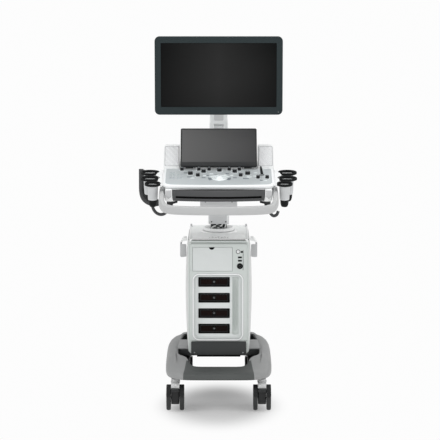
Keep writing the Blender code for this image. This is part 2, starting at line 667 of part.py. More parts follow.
def probe_holder(name, side):
    """Three slanted rings on a rail, each with a tapered cup that is open at both ends."""
    tilt = Matrix.Rotation(DECK_TILT, 4, "X")
    middle = HOLDER_RINGS[1]
    lift = Matrix.Translation((0, middle[0], middle[2]))
    rail = [(side * u, v - middle[0]) for u, v in HOLDER_RAIL]
    body = slab(name, rail, -HOLDER_RAIL_HALF, HOLDER_RAIL_HALF, axis="Z")
    body.matrix_world = lift @ tilt
    ring = (RING_RADIUS, RING_HEIGHT, 0.0, RING_RADIUS, RING_FLATTEN)
    for y, x, z, stretch in HOLDER_RINGS:
        for outer, length, drop, low, flatten in (ring, (*CUP, 1.0)):
            piece = cylinder("ring", (0, 0, -drop), low, length, top_radius=outer, sides=28)
            set_origin(piece, (0, 0, 0))
            shape = Matrix.Diagonal((stretch, flatten, 1, 1))
            piece.matrix_world = Matrix.Translation((side * x, y, z)) @ tilt @ shape
            bpy.context.view_layer.update()
            join(body, piece)
    low_radius, depth, drop = CUP_HOLE
    for i, (y, x, z, stretch) in enumerate(HOLDER_RINGS):
        hole = cylinder("%s_hole_%d" % (name, i), (0, 0, -drop), low_radius, depth, top_radius=RING_HOLE, sides=28)
        set_origin(hole, (0, 0, 0))
        hole.matrix_world = Matrix.Translation((side * x, y, z)) @ tilt @ Matrix.Diagonal((stretch, 1, 1, 1))
        bpy.context.view_layer.update()
        cut(body, hole)
    finish(body, PLASTIC_WHITE)


def long_probe_holder():
    strap = sweep("long_probe_holder", smooth_path(LONG_HOLDER_PATH, 3), *LONG_HOLDER_HALVES, wide=(0, 1, 0))
    join(strap, slab("web", LONG_HOLDER_WEB, *LONG_HOLDER_WEB_SPAN))
    finish(strap, PLASTIC_DARK)


def cable_hooks():
    for side, name in ((-1, "left"), (1, "right")):
        places = [(side * x, CABLE_HOOK_Y, z) for x, z in CABLE_HOOK_PATHS[name]]
        hook = sweep("cable_hook_" + name, smooth_path(places, 3), *CABLE_HOOK_HALVES, wide=(0, 1, 0))
        finish(hook, PLASTIC_DARK)


# ---------------------------------------------------------------- arm and monitor

def arm():
    low = Vector((0, *ARM_LOW))
    high = Vector((0, *ARM_HIGH))
    lug = ARM_LUG_HALF
    base_piece = cylinder("arm_base", (0, COLUMN_Y, SLEEVE_TOP + 0.0085), 0.034, 0.016, sides=28)
    join(base_piece,
         box("post", (-lug, low.y - 0.026, SLEEVE_TOP + 0.010), (lug, low.y + 0.012, low.z + 0.004)),
         cylinder("knuckle", low, 0.016, 2 * lug, axis="X"),
         cylinder("pin", low, PIN_RADIUS, 0.070, axis="X", sides=16))
    finish(set_origin(base_piece, (0, COLUMN_Y, SLEEVE_TOP)), PLASTIC_GREY)

    length = (high - low).length
    lean = math.atan2(high.y - low.y, high.z - low.z)
    rings = []
    for z, half in ((-0.017, 0.0385), (0.02, 0.0390), (length * 0.5, 0.0345), (length - 0.02, 0.0330),
                    (length + 0.017, 0.0325)):
        depth = 0.017 if z < 0 or z > length else 0.020
        rings.append([(u, v, z) for u, v in rounded_rectangle(-half, half, -depth, depth, 0.007, 2)])
    link = loft("arm_link", rings)
    clear = lug + FIT_GAP
    cut(link,
        box("low_slot", (-clear, -0.04, -0.04), (clear, 0.04, 0.024)),
        box("high_slot", (-clear, -0.04, length - 0.024), (clear, 0.04, length + 0.04)),
        cylinder("low_bore", (0, 0, 0), PIN_RADIUS + FIT_GAP, 0.10, axis="X", sides=16),
        cylinder("high_bore", (0, 0, length), PIN_RADIUS + FIT_GAP, 0.10, axis="X", sides=16))
    link.matrix_world = Matrix.Translation(low) @ Matrix.Rotation(-lean, 4, "X")
    finish(link, PLASTIC_WHITE)

    tilt_z = TILT_AXIS[1]
    head = cylinder("arm_head", high, 0.016, 2 * lug, axis="X")
    join(head,
         box("beam", (-lug, SWIVEL_Y, tilt_z - 0.018), (lug, high.y - 0.004, tilt_z + 0.012)),
         cylinder("boss", (0, SWIVEL_Y, tilt_z), 0.020, 0.050),
         cylinder("pin", high, PIN_RADIUS, 0.060, axis="X", sides=16))
    finish(set_origin(head, high), PLASTIC_GREY)

    yoke = box("monitor_yoke", (-0.024, SWIVEL_Y - 0.030, tilt_z - 0.034), (0.024, SWIVEL_Y + 0.020, tilt_z + 0.034))
    cut(yoke, box("yoke_gap", (-0.04, SWIVEL_Y - 0.022, tilt_z - 0.0258), (0.04, SWIVEL_Y + 0.04, tilt_z + 0.0258)))
    join(yoke,
         box("stem", (-0.020, TILT_AXIS[0], tilt_z - 0.012), (0.020, SWIVEL_Y - 0.025, tilt_z + 0.012)),
         cylinder("barrel", (0, *TILT_AXIS), 0.012, 0.060, axis="X"),
         cylinder("pin", (0, *TILT_AXIS), PIN_RADIUS, 0.088, axis="X", sides=16))
    finish(set_origin(yoke, (0, SWIVEL_Y, tilt_z)), PLASTIC_GREY)


def monitor():
    back = MONITOR_FRONT + BEZEL_DEPTH
    middle = (MONITOR_BOTTOM + MONITOR_TOP) / 2
    half_height = (MONITOR_TOP - MONITOR_BOTTOM) / 2

    def level(y, inset, radius):
        points = rounded_rectangle(-MONITOR_HALF_WIDTH + inset, MONITOR_HALF_WIDTH - inset,
                                   middle - half_height + inset, middle + half_height - inset, radius, 5)
        return [(u, y, v) for u, v in points]

    bezel = loft("monitor_bezel", [level(MONITOR_FRONT, 0.0012, 0.019), level(MONITOR_FRONT + 0.0015, 0.0, 0.020),
                                   level(back, 0.0, 0.020)])
    left, right, low, high = SCREEN
    cut(bezel, box("screen_pocket", (left, MONITOR_FRONT - 0.01, low), (right, MONITOR_FRONT + 0.006, high)))
    finish(bezel, PLASTIC_DARK)

    glass = box("monitor_glass", (left + FIT_GAP, MONITOR_FRONT + 0.0012, low + FIT_GAP),
                (right - FIT_GAP, MONITOR_FRONT + 0.0056, high - FIT_GAP))
    finish(glass, GLASS_DARK)

    shell = loft("monitor_back", [level(back + FIT_GAP, 0.003, 0.018), level(back + 0.012, 0.006, 0.018),
                                  level(back + 0.026, 0.040, 0.030), level(back + 0.036, 0.080, 0.040)])
    axis_y, axis_z = TILT_AXIS
    for side in (-1, 1):
        ends = sorted((side * 0.0305, side * 0.0425))
        join(shell, box("lug", (ends[0], back + 0.030, axis_z - 0.016), (ends[1], axis_y + 0.012, axis_z + 0.016)))
    cut(shell,
        cylinder("tilt_bore", (0, axis_y, axis_z), PIN_RADIUS + FIT_GAP, 0.12, axis="X", sides=16),
        box("back_hollow", (-0.20, back - 0.01, middle - 0.12), (0.20, back + 0.020, middle + 0.12)))
    finish(set_origin(shell, (0, axis_y, axis_z)), PLASTIC_WHITE)


for caster_name, (caster_x, caster_y) in CASTERS.items():
    caster(caster_name, caster_x, caster_y)
for caster_name in ("front_left", "front_right"):
    brake_pedal(caster_name, *CASTERS[caster_name])
base()
tower()
column()
console_base_piece()
deck_piece()
handle_piece()
drawer()
knobs()
controls()
touch_screen()
probe_holder("probe_holder_left", -1)
probe_holder("probe_holder_right", 1)
long_probe_holder()
cable_hooks()
arm()
monitor()
bpy.context.view_layer.update()
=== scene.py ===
"""Finished look of the ultrasound machine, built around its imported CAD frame."""
import json
import math

import bmesh
import bpy
from mathutils import Matrix, Vector


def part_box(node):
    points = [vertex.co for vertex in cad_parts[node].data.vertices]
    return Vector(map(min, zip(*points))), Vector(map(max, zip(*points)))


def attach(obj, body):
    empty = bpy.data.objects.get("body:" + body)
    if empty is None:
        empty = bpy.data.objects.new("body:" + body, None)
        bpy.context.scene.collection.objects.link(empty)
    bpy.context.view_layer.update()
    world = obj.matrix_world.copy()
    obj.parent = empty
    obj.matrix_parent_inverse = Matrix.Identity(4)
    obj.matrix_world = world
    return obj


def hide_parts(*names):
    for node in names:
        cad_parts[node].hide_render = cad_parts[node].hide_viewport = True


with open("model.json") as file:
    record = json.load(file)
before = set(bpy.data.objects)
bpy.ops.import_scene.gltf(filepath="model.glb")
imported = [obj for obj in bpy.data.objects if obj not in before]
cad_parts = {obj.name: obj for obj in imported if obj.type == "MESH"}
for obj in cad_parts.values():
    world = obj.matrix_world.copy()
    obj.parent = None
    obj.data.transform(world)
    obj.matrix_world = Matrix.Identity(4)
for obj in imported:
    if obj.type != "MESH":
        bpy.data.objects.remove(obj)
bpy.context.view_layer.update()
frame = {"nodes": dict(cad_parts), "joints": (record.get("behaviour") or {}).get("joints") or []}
BOX = {node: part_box(node) for node in frame["nodes"]}
JOINT = {joint["name"]: joint for joint in frame["joints"]}

SHARP_ANGLE = math.radians(38)
WELD = 0.00001             # points closer than this are one
SIDES = ((-1, "left"), (1, "right"))


# ---------------------------------------------------------------- materials

def linear(value):
    """One 0-255 colour step as a linear value."""
    value = value / 255
    return value / 12.92 if value <= 0.04045 else ((value + 0.055) / 1.055) ** 2.4


def node_material(name, roughness, metallic=0.0, coat=0.0, specular=0.5):
    material = bpy.data.materials.new(name)
    material.use_nodes = True
    nodes = material.node_tree.nodes
    shader = nodes["Principled BSDF"]
    shader.inputs["Roughness"].default_value = roughness
    shader.inputs["Metallic"].default_value = metallic
    shader.inputs["Coat Weight"].default_value = coat
    shader.inputs["Coat Roughness"].default_value = 0.08
    shader.inputs["Specular IOR Level"].default_value = specular
    return material, nodes, material.node_tree.links, shader


def noise(nodes, links, scale, detail=3.0):
    place = nodes.new("ShaderNodeTexCoord")
    texture = nodes.new("ShaderNodeTexNoise")
    texture.inputs["Scale"].default_value = scale
    texture.inputs["Detail"].default_value = detail
    links.new(place.outputs["Object"], texture.inputs["Vector"])
    return texture.outputs["Fac"]


def ramp(nodes, links, source, low, high, start=0.3, end=0.7):
    """Map a 0-1 value to two colours or greys."""
    node = nodes.new("ShaderNodeValToRGB")
    node.color_ramp.elements[0].position = start
    node.color_ramp.elements[1].position = end
    node.color_ramp.elements[0].color = (*low, 1.0)
    node.color_ramp.elements[1].color = (*high, 1.0)
    links.new(source, node.inputs["Fac"])
    return node.outputs["Color"]


def grain_bump(nodes, links, shader, strength, scale):
    """Fine moulded grain in the surface normal."""
    bump = nodes.new("ShaderNodeBump")
    bump.inputs["Strength"].default_value = strength
    bump.inputs["Distance"].default_value = 0.0003
    links.new(noise(nodes, links, scale, 2.0), bump.inputs["Height"])
    links.new(bump.outputs["Normal"], shader.inputs["Normal"])


def plastic(name, rgb, roughness=0.45, grain=0.10, grain_scale=1400, variation=0.035, coat=0.0,
        metallic=0.0, edge_light=0.10, specular=0.35):
    """Moulded plastic: spark-erosion grain, faint cloudiness, uneven gloss, and edges painted lighter, partly
    as rubbing wear and partly as a painted edge highlight.
    """
    material, nodes, links, shader = node_material(name, roughness, metallic, coat, specular)
    base = [linear(step) for step in rgb]
    low = [channel * (1 - variation) for channel in base]
    high = [min(channel * (1 + variation), 1.0) for channel in base]
    cloud = ramp(nodes, links, noise(nodes, links, 9.0, 5.0), low, high)
    # edges lighter by pointiness: rubbing wear and a painted edge highlight together
    edge_geometry = nodes.new("ShaderNodeNewGeometry")
    wear_and_highlight = [min(channel + edge_light * (0.25 + channel), 1.0) for channel in base]
    edge = nodes.new("ShaderNodeMix")
    edge.data_type = "RGBA"
    mask = ramp(nodes, links, edge_geometry.outputs["Pointiness"], (0, 0, 0), (1, 1, 1), 0.51, 0.58)
    links.new(mask, edge.inputs["Factor"])
    links.new(cloud, edge.inputs["A"])
    edge.inputs["B"].default_value = (*wear_and_highlight, 1.0)
    links.new(edge.outputs["Result"], shader.inputs["Base Color"])
    gloss = ramp(nodes, links, noise(nodes, links, 22.0, 4.0), (roughness - 0.05,) * 3,
        (roughness + 0.05,) * 3)
    links.new(gloss, shader.inputs["Roughness"])
    grain_bump(nodes, links, shader, grain, grain_scale)
    return material


def brushed(name, rgb, roughness=0.32):
    """Metal with fine streaks along X."""
    material, nodes, links, shader = node_material(name, roughness, 1.0)
    place = nodes.new("ShaderNodeTexCoord")
    stretch = nodes.new("ShaderNodeMapping")
    stretch.inputs["Scale"].default_value = (40, 900, 900)
    streaks = nodes.new("ShaderNodeTexNoise")
    streaks.inputs["Scale"].default_value = 1.0
    links.new(place.outputs["Object"], stretch.inputs["Vector"])
    links.new(stretch.outputs["Vector"], streaks.inputs["Vector"])
    base = [linear(step) for step in rgb]
    links.new(ramp(nodes, links, streaks.outputs["Fac"], [c * 0.85 for c in base], base),
        shader.inputs["Base Color"])
    links.new(ramp(nodes, links, streaks.outputs["Fac"], (roughness - 0.08,) * 3, (roughness + 0.1,) * 3),
        shader.inputs["Roughness"])
    return material


def screen(name, edge_rgb, sheen_rgb, roughness, reach, lean):
    """Switched-off display: dark glass with a painted sheen in its colour, lighter in the middle and fading
    to its sides, with faint smudges in the gloss.
    """
    material, nodes, links, shader = node_material(name, roughness, specular=0.12)
    place = nodes.new("ShaderNodeTexCoord")
    split = nodes.new("ShaderNodeSeparateXYZ")
    slide = nodes.new("ShaderNodeMath")
    size = nodes.new("ShaderNodeMath")
    fade = nodes.new("ShaderNodeMapRange")
    slide.inputs[1].default_value = lean
    size.operation = "ABSOLUTE"
    fade.inputs["From Max"].default_value = reach
    fade.inputs["To Min"].default_value = 1.0
    fade.inputs["To Max"].default_value = 0.0
    links.new(place.outputs["Object"], split.inputs["Vector"])
    links.new(split.outputs["X"], slide.inputs[0])
    links.new(slide.outputs["Value"], size.inputs[0])
    links.new(size.outputs["Value"], fade.inputs["Value"])
    # painted sheen: the base colour runs from the edge colour at the sides to the lighter middle colour
    edge = [linear(step) for step in edge_rgb]
    middle = [linear(step) for step in sheen_rgb]
    links.new(ramp(nodes, links, fade.outputs["Result"], edge, middle, 0.0, 1.0),
        shader.inputs["Base Color"])
    smudge = ramp(nodes, links, noise(nodes, links, 14.0, 6.0), (roughness,) * 3, (roughness + 0.08,) * 3,
        0.45, 0.8)
    links.new(smudge, shader.inputs["Roughness"])
    return material


BUMPER_HALF = 0.1190        # the darker bumper zone ends at this |X| and this Y
BUMPER_REAR = -0.140
BUMPER_LEAN = 0.10          # how its sides draw in towards the front


def two_tone(name, outer_rgb, inner_rgb):
    """The base cover's plastic, with a darker bumper zone across the front middle."""
    material, nodes, links, shader = node_material(name, 0.5, 0.0, 0.0, 0.35)
    place = nodes.new("ShaderNodeTexCoord")
    split = nodes.new("ShaderNodeSeparateXYZ")
    size = nodes.new("ShaderNodeMath")
    size.operation = "ABSOLUTE"
    lean = nodes.new("ShaderNodeMath")
    lean.operation = "MULTIPLY_ADD"
    lean.inputs[1].default_value = BUMPER_LEAN
    links.new(place.outputs["Object"], split.inputs["Vector"])
    links.new(split.outputs["X"], size.inputs[0])
    links.new(split.outputs["Y"], lean.inputs[0])
    links.new(size.outputs["Value"], lean.inputs[2])
    masks = []
    edges = ((lean.outputs["Value"], BUMPER_HALF, 0.0020), (split.outputs["Y"], BUMPER_REAR, 0.0040))
    for value, start, softness in edges:
        mask = nodes.new("ShaderNodeMapRange")
        mask.inputs["From Min"].default_value = start
        mask.inputs["From Max"].default_value = start + softness
        links.new(value, mask.inputs["Value"])
        masks.append(mask.outputs["Result"])
    either = nodes.new("ShaderNodeMath")
    either.operation = "MAXIMUM"
    links.new(masks[0], either.inputs[0])
    links.new(masks[1], either.inputs[1])
    cloud = noise(nodes, links, 9.0, 5.0)
    tones = []
    for rgb in (inner_rgb, outer_rgb):
        base = [linear(step) for step in rgb]
        tones.append(ramp(nodes, links, cloud, [step * 0.95 for step in base],
            [step * 1.05 for step in base]))
    mix = nodes.new("ShaderNodeMix")
    mix.data_type = "RGBA"
    links.new(either.outputs["Value"], mix.inputs["Factor"])
    links.new(tones[0], mix.inputs["A"])
    links.new(tones[1], mix.inputs["B"])
    links.new(mix.outputs["Result"], shader.inputs["Base Color"])
    grain_bump(nodes, links, shader, 0.22, 1200)
    return material


MAT = {"white": plastic("white_shell_plastic", (241, 243, 243), 0.42),
    "side": plastic("side_cover_plastic", (204, 206, 205), 0.38), "panel": plastic("panel_plastic",
    (200, 206, 203), 0.46), "door": plastic("door_plastic", (210, 214, 213), 0.44),
    "tray": plastic("tray_plastic", (247, 249, 248), 0.42), "deck": plastic("deck_plastic", (182, 188, 190),
    0.40, variation=0.02), "lip": plastic("deck_lip_plastic", (240, 243, 244), 0.35),
    "base": plastic("base_plastic", (150, 151, 151), 0.48, grain=0.22),
    "base_ring": two_tone("base_ring_plastic", (147, 148, 148), (80, 83, 82)),
    "grey": plastic("grey_plastic", (188, 189, 190), 0.45), "column": plastic("column_paint",
    (206, 207, 208), 0.40, grain=0.06), "hood": plastic("caster_hood_plastic", (196, 197, 197), 0.45),
    "dark": plastic("dark_plastic", (42, 45, 45), 0.48, grain=0.20, edge_light=0.05),
    "drawer": plastic("drawer_plastic", (74, 75, 76), 0.44, edge_light=0.05),
    "black": plastic("black_plastic", (30, 31, 32), 0.42, edge_light=0.04),
    # painted shade: a near-black that stands for the shade inside holes, slots and recesses
    "void": plastic("shadow_black", (8, 8, 8), 0.7, edge_light=0.0, specular=0.1),
    "rubber": plastic("tyre_rubber", (48, 49, 49), 0.72, grain=0.45, grain_scale=700, edge_light=0.04),
    "hub": plastic("wheel_hub_plastic", (24, 25, 26), 0.5, edge_light=0.04, specular=0.2),
    "bezel": plastic("monitor_bezel_plastic", (41, 50, 52), 0.40, grain=0.08, edge_light=0.03,
    specular=0.12), "touch": plastic("touch_bezel_plastic", (42, 43, 44), 0.42, grain=0.08, edge_light=0.03,
    specular=0.20), "knob": plastic("knob_rubber", (24, 26, 28), 0.5, grain=0.25, edge_light=0.08,
    specular=0.25), "knob_cap": plastic("knob_cap_plastic", (104, 108, 112), 0.3, grain=0.05),
    "key": plastic("key_plastic", (120, 128, 132), 0.45), "key_light": plastic("key_light_plastic",
    (222, 228, 229), 0.4), "key_pale": plastic("key_pale_plastic", (184, 191, 193), 0.4),
    "grille": plastic("grille_plastic", (226, 227, 228), 0.45), "ring": plastic("holder_ring_rubber",
    (15, 17, 18), 0.50, edge_light=0.06, specular=0.12), "cup": plastic("holder_cup_plastic",
    (196, 198, 199), 0.40), "cable_white": plastic("cable_white_pvc", (214, 216, 214), 0.5),
    "connector": plastic("connector_plastic", (8, 7, 7), 0.55, edge_light=0.0, specular=0.08),
    "ball": plastic("trackball_resin", (236, 242, 243), 0.16, grain=0.0, coat=0.6, variation=0.01),
    "handle": plastic("handle_plastic", (186, 187, 187), 0.38), "strap": plastic("strap_rubber",
    (62, 63, 64), 0.5, grain=0.2, edge_light=0.06), "steel": brushed("brushed_steel", (160, 162, 164)),
    # both screens carry a painted sheen in their base colour
    "pin": brushed("connector_pins", (66, 40, 36), 0.5), "screen": screen("monitor_glass", (3, 4, 4),
    (34, 34, 34), 0.30, 0.245, 0.0), "touch_screen": screen("touch_glass", (58, 58, 59), (92, 92, 92), 0.42,
    0.330, 0.150),}


# ---------------------------------------------------------------- mesh helpers

def piece(name, bm, body, material, node=None, replaces=(), smooth=True):
    """Make a bmesh an object that rides on a body, in a material, and hide the CAD parts it replaces."""
    bmesh.ops.remove_doubles(bm, verts=bm.verts, dist=WELD)
    bmesh.ops.recalc_face_normals(bm, faces=bm.faces)
    mesh = bpy.data.meshes.new(name)
    bm.to_mesh(mesh)
    bm.free()
    item = bpy.data.objects.new(name, mesh)
    bpy.context.scene.collection.objects.link(item)
    for entry in material if isinstance(material, tuple) else (material,):
        mesh.materials.append(MAT[entry])
    if smooth:
        mesh.shade_smooth()
        mesh.set_sharp_from_angle(angle=SHARP_ANGLE)
    dress(item, body, node, replaces)
    return item


def dress(item, body, node=None, replaces=()):
    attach(item, body)
    if replaces:
        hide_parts(*replaces)
        node = node or replaces[0]


def bevel(item, width, segments=3, angle=30):
    modifier = item.modifiers.new("round_edges", "BEVEL")
    modifier.width = width
    modifier.segments = segments
    modifier.limit_method = "ANGLE"
    modifier.angle_limit = math.radians(angle)
    modifier.harden_normals = False
    return item


def apply_boolean(item, tool, operation="DIFFERENCE"):
    """Cut or join with a tool object, which is then removed."""
    modifier = item.modifiers.new("cut", "BOOLEAN")
    modifier.operation = operation
    modifier.object = tool
    bpy.context.view_layer.update()
    shape = bpy.data.meshes.new_from_object(item.evaluated_get(bpy.context.evaluated_depsgraph_get()))
    item.modifiers.clear()
    item.data = shape
    bpy.data.objects.remove(tool, do_unlink=True)
    shape.shade_smooth()
    shape.set_sharp_from_angle(angle=SHARP_ANGLE)
    return item


def tool(bm):
    """A temporary cutter object."""
    bmesh.ops.remove_doubles(bm, verts=bm.verts, dist=WELD)
    bmesh.ops.recalc_face_normals(bm, faces=bm.faces)
    mesh = bpy.data.meshes.new("tool")
    bm.to_mesh(mesh)
    bm.free()
    item = bpy.data.objects.new("tool", mesh)
    bpy.context.scene.collection.objects.link(item)
    return item


def skin(rings, closed=True, caps=True):
    """Faces between rows of points of equal count."""
    bm = bmesh.new()
    rows = [[bm.verts.new(point) for point in ring] for ring in rings]
    count = len(rows[0])
    last = count if closed else count - 1
    for lower, upper in zip(rows, rows[1:]):
        for i in range(last):
            j = (i + 1) % count
            bm.faces.new((lower[i], lower[j], upper[j], upper[i]))
    if caps and closed:
        bm.faces.new(rows[0])
        bm.faces.new(rows[-1])
    return bm


def loop_skin(rings):
    """A closed ring of rings, such as a frame with a shaped section."""
    bm = skin(list(rings) + [rings[0]], caps=False)
    bmesh.ops.remove_doubles(bm, verts=bm.verts, dist=0.000001)
    return bm


def merge(*parts):
    """Several bmeshes as one."""
    bm = parts[0]
    for other in parts[1:]:
        mesh = bpy.data.meshes.new("part")
        other.to_mesh(mesh)
        other.free()
        bm.from_mesh(mesh)
        bpy.data.meshes.remove(mesh)
    return bm


def block(low, high, radius=0.0, segments=3):
    """A box with round edges."""
    low = Vector(low)
    high = Vector(high)
    bm = bmesh.new()
    bmesh.ops.create_cube(bm, size=1.0)
    bmesh.ops.scale(bm, vec=high - low, verts=bm.verts)
    bmesh.ops.translate(bm, vec=(low + high) / 2, verts=bm.verts)
    if radius:
        bmesh.ops.bevel(bm, geom=bm.edges[:], offset=radius, segments=segments, affect="EDGES", profile=0.5)
    return bm


SPIN = {"Z": Matrix.Identity(3), "X": Matrix.Rotation(math.pi / 2, 3, "Y"),
    "Y": Matrix.Rotation(math.pi / 2, 3, "X")}


def turn(profile, centre, axis="Z", sides=48):
    """A turned shape: (radius, height) pairs from end to end, closed on its axis by caps."""
    spin = SPIN[axis]
    rings = []
    for radius, height in profile:
        ring = []
        for i in range(sides):
            angle = math.tau * i / sides
            point = Vector((radius * math.cos(angle), radius * math.sin(angle), height))
            ring.append(Vector(centre) + spin @ point)
        rings.append(ring)
    return skin(rings)


def ring_turn(profile, centre, axis="Z", sides=64):
    """A turned ring: a closed loop of (radius, height) pairs."""
    spin = SPIN[axis]
    bm = bmesh.new()
    rows = []
    for i in range(sides):
        angle = math.tau * i / sides
        rows.append([bm.verts.new(Vector(centre) + spin @ Vector((r * math.cos(angle), r * math.sin(angle),
            h))) for r, h in profile])
    for i in range(sides):
        a, b = rows[i], rows[(i + 1) % sides]
        for k in range(len(profile)):
            m = (k + 1) % len(profile)
            bm.faces.new((a[k], a[m], b[m], b[k]))
    return bm


def rounded(left, right, bottom, top, radius, steps=8):
    """Rectangle with round corners, as (u, v) pairs."""
    corners = ((right, top, 0), (left, top, 90), (left, bottom, 180), (right, bottom, 270))
    points = []
    for u, v, start in corners:
        centre_u = u - math.copysign(radius, u - (left + right) / 2)
        centre_v = v - math.copysign(radius, v - (bottom + top) / 2)
        for step in range(steps + 1):
            angle = math.radians(start + 90 * step / steps)
            points.append((centre_u + radius * math.cos(angle), centre_v + radius * math.sin(angle)))
    return points


ORDER = {"Y": lambda u, v, w: (u, w, v), "Z": lambda u, v, w: (u, v, w), "X": lambda u, v, w: (w, u, v)}


def slab(outline, low, high, axis="Y"):
    """A flat outline as a plate: (X, Z) pairs along Y, (X, Y) along Z or (Y, Z) along X."""
    place = ORDER[axis]
    return skin([[place(u, v, w) for u, v in outline] for w in (low, high)])


def inset_rounded(bounds, radius, inset, steps=8):
    left, right, bottom, top = bounds
    return rounded(left + inset, right - inset, bottom + inset, top - inset, max(radius - inset, 0.0006),
        steps)


def soft_plate(bounds, radius, low, high, edge=0.0015, axis="Y", both=True, steps=8):
    """A rounded-rectangle plate whose rims are rounded by stepped insets."""
    place = ORDER[axis]
    levels = [(edge, low), (edge * 0.3, low + edge * 0.3), (0.0, low + edge)] if both else [(0.0, low)]
    levels += [(0.0, high - edge), (edge * 0.3, high - edge * 0.3), (edge, high)]
    if not both and axis == "Y":
        levels = [(edge, low), (edge * 0.3, low + edge * 0.3), (0.0, low + edge), (0.0, high)]
    return skin([[place(u, v, w) for u, v in inset_rounded(bounds, radius, inset, steps)] for inset,
        w in levels])


def frame_plate(outer, outer_radius, inner, inner_radius, low, high, axis="Y", edge=0.0012, steps=8):
    """A rounded-rectangle ring with softened rims."""
    place = ORDER[axis]
    loops = []
    for inset, w in ((0.0, high), (0.0, low + edge), (edge * 0.3, low + edge * 0.3), (edge, low)):
        loops.append([place(u, v, w) for u, v in inset_rounded(outer, outer_radius, inset, steps)])
    for grow, w in ((edge, low), (edge * 0.3, low + edge * 0.3), (0.0, low + edge), (0.0, high)):
        left, right, bottom, top = inner
        points = rounded(left - grow, right + grow, bottom - grow, top + grow, inner_radius + grow, steps)
        loops.append([place(u, v, w) for u, v in points])
    bm = bmesh.new()
    rows = [[bm.verts.new(point) for point in loop] for loop in loops]
    rows.append(rows[0])
    count = len(rows[0])
    for a, b in zip(rows, rows[1:]):
        for i in range(count):
            j = (i + 1) % count
            bm.faces.new((a[i], a[j], b[j], b[i]))
    return bm


def sweep(path, half_width, half_height, wide=None, sides=20, power=3.0, taper=None):
    """Carry a squarish section along a path. Its width lies level, or along the direction given."""
    points = [Vector(point) for point in path]
    rings = []
    for i, point in enumerate(points):
        tangent = (points[min(i + 1, len(points) - 1)] - points[max(i - 1, 0)]).normalized()
        side = Vector(wide) if wide else tangent.cross(Vector((0, 0, 1)))
        side = (side - tangent * side.dot(tangent)).normalized()
        rise = side.cross(tangent).normalized()
        scale = taper(i / (len(points) - 1)) if taper else 1.0
        ring = []
        for step in range(sides):
            angle = math.tau * (step + 0.5) / sides
            across = math.copysign(abs(math.cos(angle)) ** (2 / power),
                math.cos(angle)) * half_width * scale
            along = math.copysign(abs(math.sin(angle)) ** (2 / power),
                math.sin(angle)) * half_height * scale
            ring.append(point + side * across + rise * along)
        rings.append(ring)
    return skin(rings)


def smooth_path(points, steps=8):
    """Catmull-Rom points through a list of places."""
    places = [Vector(point) for point in points]
    padded = [places[0]] + places + [places[-1]]
    result = []
    for i in range(1, len(padded) - 2):
        a, b, c, d = padded[i - 1:i + 3]
        for step in range(steps):
            t = step / steps
            result.append(0.5 * (2 * b + (c - a) * t + (2 * a - 5 * b + 4 * c - d) * t ** 2
                                 + (3 * b - a - 3 * c + d) * t ** 3))
    result.append(places[-1])
    return result


def moved(bm, matrix):
    bmesh.ops.transform(bm, matrix=matrix, verts=bm.verts)
    return bm


def screw_head(centre, radius, axis="Y", sign=-1):
    """A pan head with a cross recess, standing sign-wards along its axis."""
    profile = [(radius, 0.0), (radius, radius * 0.35), (radius * 0.8, radius * 0.6),
        (radius * 0.3, radius * 0.68), (radius * 0.28, radius * 0.35)]
    bm = turn([(r, sign * h) for r, h in profile], (0, 0, 0), "Z", 20)
    spin = {"Z": Matrix.Identity(4), "X": Matrix.Rotation(math.pi / 2, 4, "Y"),
        "Y": Matrix.Rotation(-math.pi / 2, 4, "X")}[axis]
    return moved(bm, Matrix.Translation(centre) @ spin)


# ---------------------------------------------------------------- casters

def casters():
    for where in ("front_left", "front_right", "rear_left", "rear_right"):
        fork_low, fork_high = BOX["caster_fork_" + where]
        wheel_low, wheel_high = BOX["caster_wheels_" + where]
        axle = Vector(JOINT["roll_" + where]["pos_m"])
        swivel = Vector(JOINT["swivel_" + where]["pos_m"])
        radius = (wheel_high.z - wheel_low.z) / 2
        web = (fork_high.x - fork_low.x) / 2
        caster_fork(where, fork_low, fork_high, swivel, axle, web, radius)
        caster_wheels(where, axle, web, radius)
        if "brake_pedal_" + where in BOX:
            brake_pedal(where)


